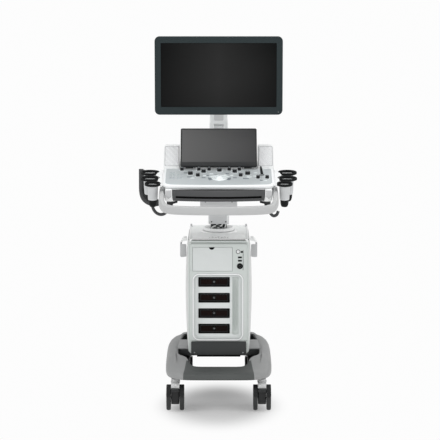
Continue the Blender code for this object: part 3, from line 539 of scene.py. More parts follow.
def caster_fork(where, low, high, swivel, axle, web, radius):
    """Hood between the wheels, its bearing collar and the stem into the base."""
    hood_top = low.z + 0.090
    side = []
    steps = 14
    front = low.y
    rear = high.y
    for i in range(steps + 1):
        angle = math.pi * i / steps
        y = (front + rear) / 2 - math.cos(angle) * (rear - front) / 2
        z = hood_top - 0.030 + 0.030 * math.sin(angle) ** 0.55
        side.append((y, z))
    side += [(rear, low.z + 0.016), (rear - 0.014, low.z), (front + 0.014, low.z), (front, low.z + 0.016)]
    body = "caster_" + where
    item = piece("hood_" + where, slab(side, swivel.x - web, swivel.x + web, "X"), body, "black",
        replaces=("caster_fork_" + where,))
    bevel(item, 0.003)
    cap = side[:steps + 1]
    cap += [(y, z - 0.014) for y, z in reversed(side[1:steps])]
    shell = piece("hood_cap_" + where, slab([(y, z + 0.0012) for y, z in cap], swivel.x - web - 0.0005,
        swivel.x + web + 0.0005, "X"), body, "hood", "caster_fork_" + where)
    bevel(shell, 0.002)
    collar = [(0.0125, hood_top - 0.012), (0.0190, hood_top - 0.004), (0.0190, hood_top + 0.004),
        (0.0165, hood_top + 0.006), (0.0165, hood_top + 0.011), (0.0105, hood_top + 0.0125)]
    piece("swivel_collar_" + where, turn(collar, (swivel.x, swivel.y, 0)), body, "hood",
        "caster_fork_" + where)
    for sign, label in SIDES:
        arcs = [[(axle.y + reach * math.cos(math.radians(20 + 7 * i)),
            axle.z + reach * math.sin(math.radians(20 + 7 * i))) for i in range(21)]
            for reach in (radius + 0.0055, radius + 0.0012)]
        ends = sorted((swivel.x + sign * (web + 0.0012), swivel.x + sign * (web + 0.0198)))
        fender = piece("fender_%s_%s" % (where, label), slab(arcs[0] + list(reversed(arcs[1])), *ends, "X"),
            body, "hub", "caster_fork_" + where)
        bevel(fender, 0.0012, 2, 40)
    stem = [(0.0098, hood_top), (0.0098, high.z - 0.002), (0.0085, high.z - 0.0005)]
    piece("stem_" + where, turn(stem, (swivel.x, swivel.y, 0), sides=32), body, "steel",
        "caster_fork_" + where)


def caster_wheels(where, axle, web, radius):
    """Twin wheels: grooved tread, dished hub with ribs, and the axle's end cap."""
    width = 0.018
    body = "wheels_" + where
    for side in (-1, 1):
        inner = side * (web + 0.002)
        outer = inner + side * width
        tread = [(radius - 0.012, inner), (radius - 0.0035, inner),
            (radius - 0.0008, inner + side * 0.0030), (radius, inner + side * 0.0065),
            (radius, outer - side * 0.0065), (radius - 0.0008, outer - side * 0.0030),
            (radius - 0.0035, outer - side * 0.0004), (radius - 0.012, outer - side * 0.0004)]
        label = "%s_%s" % (where, "left" if side < 0 else "right")
        replaced = ("caster_wheels_" + where,) if side < 0 else ()
        ring = ring_turn(tread, axle, "X", 72)
        piece("tread_" + label, ring, body, "rubber", "caster_wheels_" + where, replaced)
        hub = [(0.0040, inner + side * 0.001), (radius - 0.0115, inner + side * 0.001),
            (radius - 0.0115, outer - side * 0.001), (radius - 0.016, outer - side * 0.001),
            (radius - 0.020, outer - side * 0.0045), (0.015, outer - side * 0.0045),
            (0.0125, outer - side * 0.0008), (0.0070, outer - side * 0.0002),
            (0.0040, outer - side * 0.0010)]
        piece("hub_" + label, ring_turn(hub, axle, "X", 64), body, "hub", "caster_wheels_" + where)
        ribs = []
        for i in range(8):
            rib = block((outer - side * 0.0022 - 0.0018, -0.0013, 0.014),
                (outer - side * 0.0022 + 0.0018, 0.0013, 0.0325), 0.0005, 1)
            ribs.append(moved(rib, Matrix.Translation((axle.x, axle.y,
                axle.z)) @ Matrix.Rotation(math.tau * i / 8, 4, "X")))
        piece("hub_ribs_" + label, merge(*ribs), body, "hub", "caster_wheels_" + where)
    axle_rod = [(0.0038, -web - 0.004), (0.0038, web + 0.004)]
    piece("axle_" + where, turn(axle_rod, axle, "X", 24), body, "steel", "caster_wheels_" + where)


def brake_pedal(where):
    low, high = BOX["brake_pedal_" + where]
    body = "pedal_" + where
    profile = [(low.y, low.z + 0.0035), (low.y + 0.0035, low.z + 0.0005), (high.y, low.z + 0.001),
        (high.y, high.z - 0.001), (high.y - 0.012, high.z), (low.y + 0.004, high.z - 0.003)]
    item = piece("pedal_tread_" + where, slab(profile, low.x, high.x, "X"), body, "black",
        replaces=("brake_pedal_" + where,))
    bevel(item, 0.0015)
    ribs = [block((low.x + 0.004, low.y + 0.0045 + 0.004 * i, high.z - 0.0032 + 0.0004 * i),
        (high.x - 0.004, low.y + 0.0063 + 0.004 * i, high.z - 0.0012 + 0.0004 * i), 0.0004, 1)
        for i in range(4)]
    piece("pedal_grip_" + where, merge(*ribs), body, "dark", "brake_pedal_" + where)


# ---------------------------------------------------------------- base

BASE_LOW, BASE_HIGH = BOX["base_cover"]
BASE_CENTRE = (BASE_LOW + BASE_HIGH) / 2
BASE_REACH = (BASE_HIGH - BASE_LOW) / 2
BASE_POWER_FRONT = 5.5
BASE_POWER_REAR = 4.2
BUMPER_SHARE = 0.50
# painted shade: the opening's inner walls take the dark material within these bounds
SHADED_WALL_HALF = 0.168          # the dark inner walls of the opening: their reach and share of the height
SHADED_WALL_FRONT = -0.17
SHADED_WALL_REAR = 0.33
SHADED_WALL_SHARE = 0.80
BRIDGE_INNER = 0.1185
BRIDGE_OUTER = 0.176
RING_SIDES = 160


def superellipse(angle, half_x, half_y, power_front, power_rear):
    power = power_front if math.sin(angle) < 0 else power_rear
    return (math.copysign(abs(math.cos(angle)) ** (2 / power), math.cos(angle)) * half_x,
        math.copysign(abs(math.sin(angle)) ** (2 / power), math.sin(angle)) * half_y)


def base_share(y):
    """How much of the full height the cover has: low over the bumper, full from the tower back."""
    start = BASE_LOW.y + 0.045
    t = min(max((y - start) / 0.125, 0.0), 1.0)
    return BUMPER_SHARE + (1 - BUMPER_SHARE) * t * t * (3 - 2 * t)


OPENING = (                                        # right half of the cover's opening, from the bumper back
    (0.0, -0.1780), (0.040, -0.1780), (0.076, -0.1778), (0.098, -0.1745), (0.112, -0.1640), (0.120, -0.148),
           (0.126, -0.128),
    (0.133, -0.109), (0.146, -0.093), (0.158, -0.078), (0.166, -0.058), (0.1695, -0.032), (0.171, 0.0),
           (0.171, 0.045),
    (0.170, 0.085), (0.168, 0.120), (0.166, 0.160), (0.163, 0.205), (0.159, 0.250), (0.154, 0.290),
           (0.147, 0.318),
    (0.130, 0.332), (0.100, 0.3350), (0.050, 0.3355), (0.0, 0.3355),
)


def opening_outline():
    """The opening's edge as RING_SIDES points evenly spread by length, in the outer rings' order."""
    right = smooth_path([(x, y, 0) for x, y in OPENING], 8)
    loop = [(p[0], p[1]) for p in right] + [(-p[0], p[1]) for p in reversed(right[1:-1])]
    loop.append(loop[0])
    lengths = [0.0]
    for a, b in zip(loop, loop[1:]):
        lengths.append(lengths[-1] + math.dist(a, b))
    points = []
    k = 0
    for i in range(RING_SIDES):
        target = lengths[-1] * (i + 0.5) / RING_SIDES
        while lengths[k + 1] < target:
            k += 1
        t = (target - lengths[k]) / max(lengths[k + 1] - lengths[k], 1e-9)
        a, b = loop[k], loop[k + 1]
        points.append((a[0] + (b[0] - a[0]) * t, a[1] + (b[1] - a[1]) * t))
    return points


def base():
    """The cover as one soft ring with a darker bumper zone and its opening's inner walls painted dark as
    shade, and the two bridges to the tower foot with painted shade beneath them.
    """
    height = BASE_HIGH.z - BASE_LOW.z
    outer_levels = [(0.004, 0.000), (0.0012, 0.02), (0.0, 0.07)]
    outer_levels += [(0.0, 0.30), (0.0006, 0.45), (0.003, 0.60), (0.008, 0.75), (0.016, 0.87),
        (0.027, 0.955), (0.040, 1.0)]
    rings = []
    for inset, share in outer_levels:
        ring = []
        for i in range(RING_SIDES):
            angle = -math.pi / 2 + math.tau * (i + 0.5) / RING_SIDES
            x, y = superellipse(angle, BASE_REACH.x - inset, BASE_REACH.y - inset, BASE_POWER_FRONT,
                BASE_POWER_REAR)
            y += BASE_CENTRE.y
            z = BASE_LOW.z + height * share * base_share(y)
            ring.append((x, y, z))
        rings.append(ring)
    opening = opening_outline()
    for grow, share in ((0.010, 1.0), (0.0035, 0.985), (0.0008, 0.94), (0.0, 0.84), (-0.001, 0.35),
            (-0.001, 0.0)):
        ring = []
        for x, y in opening:
            length = math.hypot(x, y - BASE_CENTRE.y)
            x, y = x * (1 + grow / length), y + (y - BASE_CENTRE.y) * grow / length
            ring.append((x, y, BASE_LOW.z + 0.003 + (height - 0.003) * share * base_share(y)))
        rings.append(ring)
    bm = skin(rings, caps=False)
    bm.faces.ensure_lookup_table()
    # painted shade: faces of the opening's inner walls below the share line take the dark material
    for face in bm.faces:
        middle = face.calc_center_median()
        shade_top = BASE_LOW.z + height * SHADED_WALL_SHARE * base_share(middle.y)
        if abs(middle.x) < SHADED_WALL_HALF and middle.z < shade_top and SHADED_WALL_FRONT < middle.y < SHADED_WALL_REAR:
            face.material_index = 1
    item = piece("base_ring", bm, "base", ("base_ring", "dark"), replaces=("base_cover",))
    solid = item.modifiers.new("wall", "SOLIDIFY")
    solid.thickness = 0.003
    solid.offset = -1
    for side, name in SIDES:
        xs = sorted((side * BRIDGE_INNER, side * BRIDGE_OUTER))
        top = BASE_HIGH.z - 0.0012
        deck_plate = block((xs[0], 0.050, top - 0.008), (xs[1], 0.205, top), 0.0038)
        piece("base_bridge_" + name, deck_plate, "base", "base", "base_cover")
        # painted shade: a dark block under each bridge stands for the shade beneath it
        web = block((xs[0], 0.054, top - 0.036), (xs[1], 0.201, top - 0.0082), 0.003)
        piece("base_bridge_shade_" + name, web, "base", "dark", "base_cover")
    frame["nodes"]["chassis_frame"].data.materials.clear()
    frame["nodes"]["chassis_frame"].data.materials.append(MAT["black"])
    foot_rest()


def foot_rest():
    low, high = BOX["foot_rest_plate"]
    lean = 0.005
    profile = [(high.y, low.z + 0.010), (low.y + 0.001, low.z + 0.008), (low.y, low.z + 0.012),
        (low.y + lean, high.z - 0.003), (low.y + lean + 0.002, high.z), (high.y, high.z)]
    plate = slab(profile, low.x, high.x, "X")
    item = piece("foot_plate", plate, "base", "dark", replaces=("foot_rest_plate",))
    bevel(item, 0.003, 4)
    # painted shade: a near-black block under the plate stands for the shade beneath it
    lip = block((low.x + 0.024, low.y + 0.004, low.z), (high.x - 0.024, high.y - 0.002, low.z + 0.010),
        0.002)
    piece("foot_lip", lip, "base", "void", "foot_rest_plate")
    for side in (-1, 1):
        head = screw_head((side * (high.x - 0.014), low.y + lean * 0.2 + 0.0012, low.z + 0.018), 0.0032)
        piece("foot_screw_%s" % ("left" if side < 0 else "right"), head, "base", "steel", "foot_rest_plate")


# ---------------------------------------------------------------- tower

SHELL_LOW, SHELL_HIGH = BOX["tower_shell"]
PANEL_LOW, PANEL_HIGH = BOX["front_panel"]
TOWER_HALF = 0.1266
TOWER_SWELL = SHELL_HIGH.x - TOWER_HALF + 0.0004


def tower_side(y, z):
    """Half the tower's width at a depth and height."""
    centre = (SHELL_LOW.y + SHELL_HIGH.y) / 2
    along = min(abs(y - centre) / ((SHELL_HIGH.y - SHELL_LOW.y) / 2), 1.0)
    rise = (z - SHELL_LOW.z) / (SHELL_HIGH.z - SHELL_LOW.z)
    swell = TOWER_SWELL * math.sin(math.pi * min(max(rise, 0.0), 1.0)) ** 0.6
    return max(1 - along ** 9.09, 0.0) ** 0.11, TOWER_HALF + swell * max(1 - along ** 2, 0.0) ** 0.7


def side_cover(side, name):
    """One bulged side cover that wraps around both vertical corners of the tower."""
    centre = (SHELL_LOW.y + SHELL_HIGH.y) / 2
    reach = (SHELL_HIGH.y - SHELL_LOW.y) / 2
    rings = []
    count = 40
    for row in range(33):
        z = SHELL_LOW.z + (SHELL_HIGH.z - SHELL_LOW.z) * row / 32
        line = []
        for i in range(count + 1):
            angle = -math.pi / 2 + math.pi * (i + 0.02) / (count + 0.04)
            along = math.copysign(abs(math.sin(angle)) ** 0.22, math.sin(angle))
            across = abs(math.cos(angle)) ** 0.22
            half = tower_side(centre + along * reach, z)[1]
            x = max(across * half, PANEL_HIGH.x + 0.0012)
            line.append((side * x, centre + along * reach, z))
        rings.append(line)
    bm = skin(rings, closed=False, caps=False)
    replaced = ("tower_shell",) if side < 0 else ()
    item = piece("side_cover_" + name, bm, "base", "side", "tower_shell", replaced)
    solid = item.modifiers.new("wall", "SOLIDIFY")
    solid.thickness = 0.004
    solid.offset = -1
    solid.use_quality_normals = True
    bevel(item, 0.0012, 2, 50)


def tower():
    for side, name in SIDES:
        side_cover(side, name)
    gap = 0.0012
    outer = (-TOWER_HALF + 0.0004, TOWER_HALF - 0.0004, SHELL_LOW.z + 0.0005, SHELL_HIGH.z - 0.0005)
    inner = (PANEL_LOW.x - gap, PANEL_HIGH.x + gap, PANEL_LOW.z - gap, PANEL_HIGH.z + gap)
    rim = frame_plate(outer, 0.014, inner, 0.010, SHELL_LOW.y - 0.0008, SHELL_LOW.y + 0.030)
    piece("fascia_frame", rim, "base", "panel", "tower_shell")
    plate = merge(block((-0.117, SHELL_LOW.y + 0.012, SHELL_HIGH.z - 0.0100),
        (0.117, SHELL_HIGH.y - 0.012, SHELL_HIGH.z - 0.0010), 0.001), block((-0.117, SHELL_LOW.y + 0.012,
        SHELL_LOW.z + 0.001), (0.117, SHELL_HIGH.y - 0.012, SHELL_LOW.z + 0.010), 0.001))
    piece("tower_decks", plate, "base", "grey", "tower_shell")
    back_rim = frame_plate(outer, 0.014, inner, 0.010, SHELL_HIGH.y - 0.0006, SHELL_HIGH.y - 0.026)
    piece("rear_frame", back_rim, "base", "panel", "tower_shell")
    front_panel()
    sockets()
    probe_ports()
    rear_cover()
    tray()
    tower_hooks()
    frame["nodes"]["electronics_cage"].data.materials.clear()
    frame["nodes"]["electronics_cage"].data.materials.append(MAT["steel"])


def cutter_slab(bounds, radius, low, high):
    return tool(slab(rounded(*bounds, radius), low, high))


def front_panel():
    """Fascia with the door opening, the port recess and the button hole, and a fine reveal around each."""
    panel = piece("fascia", soft_plate((PANEL_LOW.x, PANEL_HIGH.x, PANEL_LOW.z, PANEL_HIGH.z), 0.0095,
        PANEL_LOW.y, PANEL_HIGH.y, 0.0014), "base", "panel", replaces=("front_panel",))
    door_low, door_high = BOX["media_door"]
    board_low, board_high = BOX["probe_port_board"]
    button_low, button_high = BOX["power_button"]
    gap = 0.0009
    front = PANEL_LOW.y - 0.01
    back = PANEL_HIGH.y + 0.01
    door = (door_low.x - gap, door_high.x + gap, door_low.z - gap, door_high.z + gap)
    apply_boolean(panel, cutter_slab(door, 0.003, front, back))
    inset = 0.004
    recess = (board_low.x + inset, board_high.x - inset, board_low.z + inset, board_high.z - inset)
    apply_boolean(panel, cutter_slab(recess, 0.022, front, back))
    button = (button_low + button_high) / 2
    hole = tool(turn([(0.0074, -0.02), (0.0074, 0.02)], (button.x, PANEL_LOW.y, button.z), "Y", 40))
    apply_boolean(panel, hole)
    bevel(panel, 0.0008, 2, 40)
    lip = frame_plate((recess[0] - 0.0045, recess[1] + 0.0045, recess[2] - 0.0045, recess[3] + 0.0045),
        0.0265, recess, 0.022, PANEL_LOW.y - 0.0016, PANEL_LOW.y + 0.004, edge=0.0014)
    piece("recess_rim", lip, "base", "white", "front_panel")
    line = frame_plate((recess[0] - 0.0068, recess[1] + 0.0068, recess[2] - 0.0068, recess[3] + 0.0068),
        0.0288, (recess[0] - 0.0048, recess[1] + 0.0048, recess[2] - 0.0048, recess[3] + 0.0048), 0.0268,
        PANEL_LOW.y - 0.0003, PANEL_LOW.y + 0.002, edge=0.0001)
    piece("recess_reveal", line, "base", "grey", "front_panel")
    media_door(door_low, door_high)
    power_button(button, button_low, button_high)


def media_door(low, high):
    """Drop-down door with a crescent finger notch in its top edge."""
    notch_x = (low.x + high.x) / 2 - 0.003
    door = piece("drive_door", soft_plate((low.x, high.x, low.z, high.z), 0.003, low.y, high.y, 0.0010),
        "door", "door", replaces=("media_door",))
    notch = tool(turn([(0.0120, -0.02), (0.0120, 0.02)], (notch_x, low.y, high.z + 0.0024), "Y", 40))
    apply_boolean(door, notch)
    bevel(door, 0.0006, 2, 40)
    shade = slab([(notch_x + x, z) for x, z in ((-0.0119, high.z - 0.0002), (-0.0092, high.z - 0.0064),
        (0.0, high.z - 0.0099), (0.0092, high.z - 0.0064), (0.0119, high.z - 0.0002))], low.y + 0.0004,
        low.y + 0.0030)
    piece("door_notch_shade", shade, "door", "void", "media_door")
    cage = BOX["electronics_cage"][0].y
    tray_z = low.z + 0.050
    drive = soft_plate((low.x + 0.008, high.x - 0.008, low.z + 0.014, high.z - 0.012), 0.003, cage - 0.0035,
        cage - 0.0005, 0.0006)
    piece("drive_face", drive, "base", "dark", "electronics_cage")
    slot_bar = block((low.x + 0.014, cage - 0.0046, tray_z), (high.x - 0.014, cage - 0.0030,
        tray_z + 0.012), 0.0005)
    piece("drive_tray_front", slot_bar, "base", "black", "electronics_cage")
    for offset in (-0.03, 0.03):
        barrel = turn([(0.0020, -0.008), (0.0020, 0.008)], ((low.x + high.x) / 2 + offset * 1.8,
            low.y + 0.0028, low.z + 0.0022), "X", 16)
        piece("door_hinge_%s" % ("left" if offset < 0 else "right"), barrel, "door", "steel", "media_door")


def power_button(centre, low, high):
    profile = [(0.0064, high.y - centre.y), (0.0066, low.y - centre.y + 0.0012),
        (0.0060, low.y - centre.y + 0.0003), (0.0045, low.y - centre.y),
        (0.0015, low.y - centre.y + 0.0002)]
    spun = turn([(r, -h) for r, h in profile], (centre.x, centre.y, centre.z), "Y", 40)
    piece("power_key", spun, "power", "white", replaces=("power_button",))
    ring = [(0.0072, 0.0), (0.0088, 0.0), (0.0088, 0.0007), (0.0080, 0.0011), (0.0072, 0.0007)]
    piece("power_ring", ring_turn(ring, (centre.x, PANEL_LOW.y, centre.z), "Y", 48), "base", "black",
        "front_panel")
    mark = ring_turn([(0.0021, 0.0), (0.0027, 0.0), (0.0027, 0.0003), (0.0021, 0.0003)],
        (centre.x, low.y, centre.z), "Y", 32)
    piece("power_mark", mark, "power", "grey", "power_button")


def sockets():
    """Two USB sockets, a round ECG socket, a status lamp and the seam line beside them."""
    button = (BOX["power_button"][0] + BOX["power_button"][1]) / 2
    front = PANEL_LOW.y
    x = button.x + 0.0072
    for i, z in enumerate((button.z - 0.0240, button.z - 0.0378)):
        name = "usb_%d" % (i + 1)
        case = frame_plate((x - 0.0080, x + 0.0080, z - 0.0038, z + 0.0038), 0.0012,
            (x - 0.0066, x + 0.0066, z - 0.0026, z + 0.0026), 0.0004, front - 0.0008, front + 0.001,
            edge=0.0004)
        # painted shade: the socket's shell and hollow are in the near-black that stands for the shade inside
        # it
        piece(name + "_shell", case, "base", "void", "front_panel")
        hollow = block((x - 0.0067, front - 0.0003, z - 0.0027), (x + 0.0067, front + 0.0004, z + 0.0027))
        piece(name + "_hollow", hollow, "base", "void", "front_panel")
        tongue = block((x - 0.0052, front - 0.0006, z + 0.0001), (x + 0.0052, front - 0.0001, z + 0.0016),
            0.0002, 1)
        piece(name + "_tongue", tongue, "base", "dark", "front_panel")
    centre = (x, front, button.z - 0.0605)
    rim = [(0.0108, 0.0), (0.0121, 0.0), (0.0121, 0.0018), (0.0113, 0.0026), (0.0100, 0.0024),
        (0.0097, 0.0010)]
    # painted shade: the ECG rim and face are in the near-black that stands for the socket's shade
    piece("ecg_rim", ring_turn(rim, centre, "Y", 56), "base", "void", "front_panel")
    face = turn([(0.0110, -0.001), (0.0110, 0.0006), (0.0095, 0.0009)], centre, "Y", 48)
    piece("ecg_face", face, "base", "void", "front_panel")
    pins = []
    for i in range(6):
        angle = math.tau * i / 6
        pins.append(turn([(0.0008, 0.0), (0.0008, 0.0016), (0.0004, 0.0019)],
            (centre[0] + 0.0052 * math.cos(angle), front, centre[2] + 0.0052 * math.sin(angle)), "Y", 12))
    piece("ecg_pins", merge(*pins), "base", "steel", "front_panel")
    # painted shade: the unlit status lamp is drawn in the same shade near-black
    lamp = (x + 0.0080, front, button.z - 0.0008)
    piece("status_lamp", turn([(0.0044, -0.001), (0.0044, 0.0006), (0.0034, 0.0013), (0.0012, 0.0015)],
        lamp, "Y", 32), "base", "void", "front_panel")
    seam = block((x + 0.0124, front - 0.0004, button.z - 0.078), (x + 0.0142, front + 0.0008,
        button.z + 0.007), 0.0002, 1)
    piece("socket_seam", seam, "base", "dark", "front_panel")


PORT_HEIGHTS = (0.5045, 0.4375, 0.3720, 0.3065)


def probe_ports():
    """Moulded insert with four probe connectors and the cable gutter beside them."""
    low, high = BOX["probe_port_board"]
    inset = 0.004
    left, right, bottom, top = low.x + inset, high.x - inset, low.z + inset, high.z - inset
    rim = []
    for grow, y in ((0.0004, low.y - 0.0004), (0.0014, low.y - 0.0004), (0.0022, low.y + 0.0006),
            (0.0044, low.y + 0.0070), (0.0070, low.y + 0.0090), (0.0095, low.y + 0.0096),
            (0.0095, low.y + 0.0125), (0.0004, low.y + 0.0125)):
        rim.append([(u, y, v) for u, v in rounded(left + grow, right - grow, bottom + grow, top - grow,
            0.022 - grow)])
    piece("port_rim", loop_skin(rim), "base", "door", "probe_port_board")
    floor_plate = slab(rounded(left + 0.008, right - 0.008, bottom + 0.008, top - 0.008, 0.014),
        low.y + 0.0093, low.y + 0.0122)
    item = piece("port_insert", floor_plate, "base", "door", replaces=("probe_port_board",))
    port_left, port_right = PANEL_LOW.x + 0.0353, PANEL_LOW.x + 0.1632
    gutter = (port_right + 0.0105, right - 0.0135, bottom + 0.016, top - 0.011)
    for z in PORT_HEIGHTS:
        cut_bounds = (port_left - 0.0014, port_right + 0.0014, z - 0.0207, z + 0.0207)
        apply_boolean(item, cutter_slab(cut_bounds, 0.003, low.y - 0.01, low.y + 0.03))
    apply_boolean(item, cutter_slab(gutter, 0.010, low.y - 0.01, low.y + 0.03))
    cable_gutter(gutter, low.y + 0.0095)
    for i, z in enumerate(PORT_HEIGHTS):
        probe_port("port_%d" % (i + 1), port_left, port_right, z, low.y + 0.0095)


def cable_gutter(bounds, front):
    """A round-bottomed trough that guides the probe cables down beside the connectors."""
    left, right, bottom, top = bounds
    rings = []
    for row in range(13):
        share = row / 12
        fade = min(1.0, 5 * min(share, 1 - share) + 0.02) ** 0.5
        z = bottom + (top - bottom) * share
        line = []
        for i in range(17):
            t = i / 16
            x = left + (right - left) * t
            line.append((x, front + 0.0160 * fade * math.sin(math.pi * t) ** 0.6, z))
        rings.append(line)
    bm = skin(rings, closed=False, caps=False)
    item = piece("cable_gutter", bm, "base", "panel", "probe_port_board")
    solid = item.modifiers.new("wall", "SOLIDIFY")
    solid.thickness = 0.0012
    solid.offset = 1


def probe_port(name, left, right, z, front):
    """Connector: black surround with upper and lower ledges, black body, pin rows, key and lock socket."""
    node = "probe_port_board"
    surround = frame_plate((left - 0.0011, right + 0.0011, z - 0.0204, z + 0.0204), 0.0032,
        (left + 0.0032, right - 0.0032, z - 0.0168, z + 0.0168), 0.0018, front - 0.0022, front + 0.016)
    piece(name + "_surround", surround, "base", "connector", node)
    body = soft_plate((left + 0.0034, right - 0.0034, z - 0.0166, z + 0.0166), 0.0016, front + 0.0030,
        front + 0.0150, 0.0006)
    piece(name + "_body", body, "base", "connector", node)
    wall = frame_plate((left + 0.0060, right - 0.0060, z - 0.0140, z + 0.0140), 0.0020,
        (left + 0.0078, right - 0.0078, z - 0.0122, z + 0.0122), 0.0012, front + 0.0006, front + 0.0040,
        edge=0.0004)
    piece(name + "_wall", wall, "base", "black", node)
    contacts = []
    columns = 30
    for row in range(6):
        for column in range(columns):
            x = left + 0.012 + (right - left - 0.024) * column / (columns - 1)
            middle = abs(x - (left + right) / 2)
            if middle < 0.0075:
                continue
            height = z - 0.0090 + 0.0036 * row
            contacts.append(block((x - 0.0007, front + 0.0019, height - 0.0007),
                (x + 0.0007, front + 0.0032, height + 0.0007)))
    piece(name + "_contacts", merge(*contacts), "base", "pin", node, smooth=False)
    middle = ((left + right) / 2, front + 0.003, z)
    lock = [(0.0058, 0.0), (0.0058, 0.0018), (0.0050, 0.0024), (0.0030, 0.0024), (0.0026, 0.0010)]
    piece(name + "_lock", turn(lock, middle, "Y", 32), "base", "black", node)
    key = turn([(0.0011, 0.0008), (0.0011, 0.0030), (0.0007, 0.0034)], middle, "Y", 20)
    piece(name + "_key", key, "base", "key_light", node)
    for sign in (-1, 1):
        ledge = block((left + 0.0030, front - 0.0010, z + sign * 0.0176 - 0.0010),
            (right - 0.0030, front + 0.0030, z + sign * 0.0176 + 0.0010), 0.0005, 2)
        piece("%s_ledge_%s" % (name, "low" if sign < 0 else "high"), ledge, "base",
            "black" if sign < 0 else "grey", node)


def rear_cover():
    """Removable rear cover with a louvred vent field, a dust filter behind it, a latch, screws and a mains
    inlet.
    """
    low, high = BOX["rear_cover"]
    item = piece("rear_panel", soft_plate((low.x + 0.0006, high.x - 0.0006, low.z + 0.0006,
        high.z - 0.0006), 0.009, high.y - 0.006, high.y, 0.0012, both=True), "base", "panel",
        replaces=("rear_cover",))
    vents = []
    for i in range(11):
        z = low.z + 0.105 + 0.021 * i
        vents.append(slab(rounded(-0.085, 0.085, z, z + 0.0105, 0.005, 4), high.y - 0.02, high.y + 0.02))
    apply_boolean(item, tool(merge(*vents)))
    bevel(item, 0.0008, 2, 40)
    louvres = [block((-0.0865, high.y - 0.0068, low.z + 0.1035 + 0.021 * i),
        (0.0865, high.y - 0.0052, low.z + 0.1075 + 0.021 * i), 0.0005, 1) for i in range(11)]
    piece("rear_louvres", merge(*louvres), "base", "grey", "rear_cover")
    mesh = [block((-0.088 + 0.004 * i - 0.0005, high.y - 0.0088, low.z + 0.10),
        (-0.088 + 0.004 * i + 0.0005, high.y - 0.0080, low.z + 0.33)) for i in range(45)]
    piece("dust_filter", merge(*mesh), "base", "dark", "rear_cover", smooth=False)
    handle = soft_plate((-0.045, 0.045, high.z - 0.045, high.z - 0.022), 0.010, high.y - 0.0005,
        high.y + 0.0022, 0.0010)
    piece("rear_latch", handle, "base", "grey", "rear_cover")
    inlet = frame_plate((-0.100, -0.052, low.z + 0.022, low.z + 0.056), 0.004,
        (-0.094, -0.058, low.z + 0.028, low.z + 0.050), 0.003, high.y + 0.0022, high.y - 0.004)
    piece("mains_inlet", inlet, "base", "black", "rear_cover")
    # painted shade: a near-black floor inside the inlet stands for its shade
    piece("mains_inlet_floor", block((-0.0945, high.y - 0.0005, low.z + 0.0275),
        (-0.0575, high.y + 0.0003, low.z + 0.0505)), "base", "void", "rear_cover")
    pins = [block((x - 0.001, high.y, low.z + z), (x + 0.001, high.y + 0.0016, low.z + z + 0.006), 0.0003,
        1) for x, z in ((-0.084, 0.033), (-0.068, 0.033), (-0.076, 0.040))]
    piece("mains_pins", merge(*pins), "base", "steel", "rear_cover")
    heads = [screw_head((sx * 0.108, high.y, z), 0.0035, sign=1) for sx in (-1, 1)
        for z in (low.z + 0.012, low.z + 0.2, high.z - 0.012)]
    piece("rear_screws", merge(*heads), "base", "steel", "rear_cover")


def tray():
    """Top tray: a shallow dish with a rolled rim, drain slots, a collar seat and two cable posts."""
    low, high = BOX["top_tray"]
    deck_top = BOX["turntable"][0].z
    bounds = (low.x, high.x, low.y, high.y)
    rings = []
    for inset, z in ((0.0014, low.z), (0.0002, low.z + 0.0012), (0.0, low.z + 0.003),
            (0.0, deck_top - 0.0058), (0.0018, deck_top - 0.0052), (0.0018, deck_top - 0.0020),
            (0.0004, deck_top - 0.0016), (0.0010, deck_top - 0.0004), (0.0034, deck_top - 0.0002),
            (0.0056, deck_top - 0.0010), (0.0068, deck_top - 0.0030), (0.0085, deck_top - 0.0040)):
        rings.append([(u, v, z) for u, v in inset_rounded(bounds, 0.018, inset, 10)])
    bm = skin(rings)
    for face in bm.faces:
        middle = face.calc_center_median()
        outside = min(middle.x - low.x, high.x - middle.x, middle.y - low.y, high.y - middle.y) < 0.0030
        if outside and middle.z < deck_top - 0.0018:
            face.material_index = 1 if middle.z < deck_top - 0.0056 else 2
    piece("tray_dish", bm, "base", ("tray", "panel", "dark"), replaces=("top_tray",))
    centre = (BOX["turntable"][0] + BOX["turntable"][1]) / 2
    floor = deck_top - 0.0040
    pad = soft_plate((-0.1075, 0.1075, -0.0655, 0.0675), 0.008, floor - 0.001, deck_top + 0.0002, 0.0012,
        "Z")
    piece("tray_rest_pad", pad, "base", "tray", "top_tray")
    seat = [(0.0665, floor - 0.001), (0.0790, floor - 0.001), (0.0770, floor + 0.0020),
        (0.0700, floor + 0.0036), (0.0672, floor + 0.0036)]
    piece("collar_seat", ring_turn(seat, (centre.x, centre.y, 0), "Z", 80), "base", "tray", "top_tray")
    # painted shade: the drain slots are flat black plates standing for the shade inside them
    slots = []
    for i in range(7):
        x = (i - 3) * 0.0125
        width = 0.0045 if i % 3 else 0.0030
        slots.append(block((x - width, low.y + 0.030, deck_top - 0.0002),
            (x + width, low.y + 0.036, deck_top + 0.0004), 0.0002, 1))
        if i % 2:
            slots.append(block((x - 0.003, low.y + 0.054, deck_top - 0.0002),
                (x + 0.003, low.y + 0.058, deck_top + 0.0004), 0.0002, 1))
    piece("tray_slots", merge(*slots), "base", "black", "top_tray")
    for side, name in SIDES:
        post = [(0.0048, floor), (0.0044, floor + 0.006), (0.0040, high.z - 0.016),
            (0.0043, high.z - 0.014), (0.0030, high.z - 0.012)]
        piece("tray_post_" + name, turn(post, (side * 0.1175, high.y - 0.020, 0), sides=28), "base", "grey",
            "top_tray")


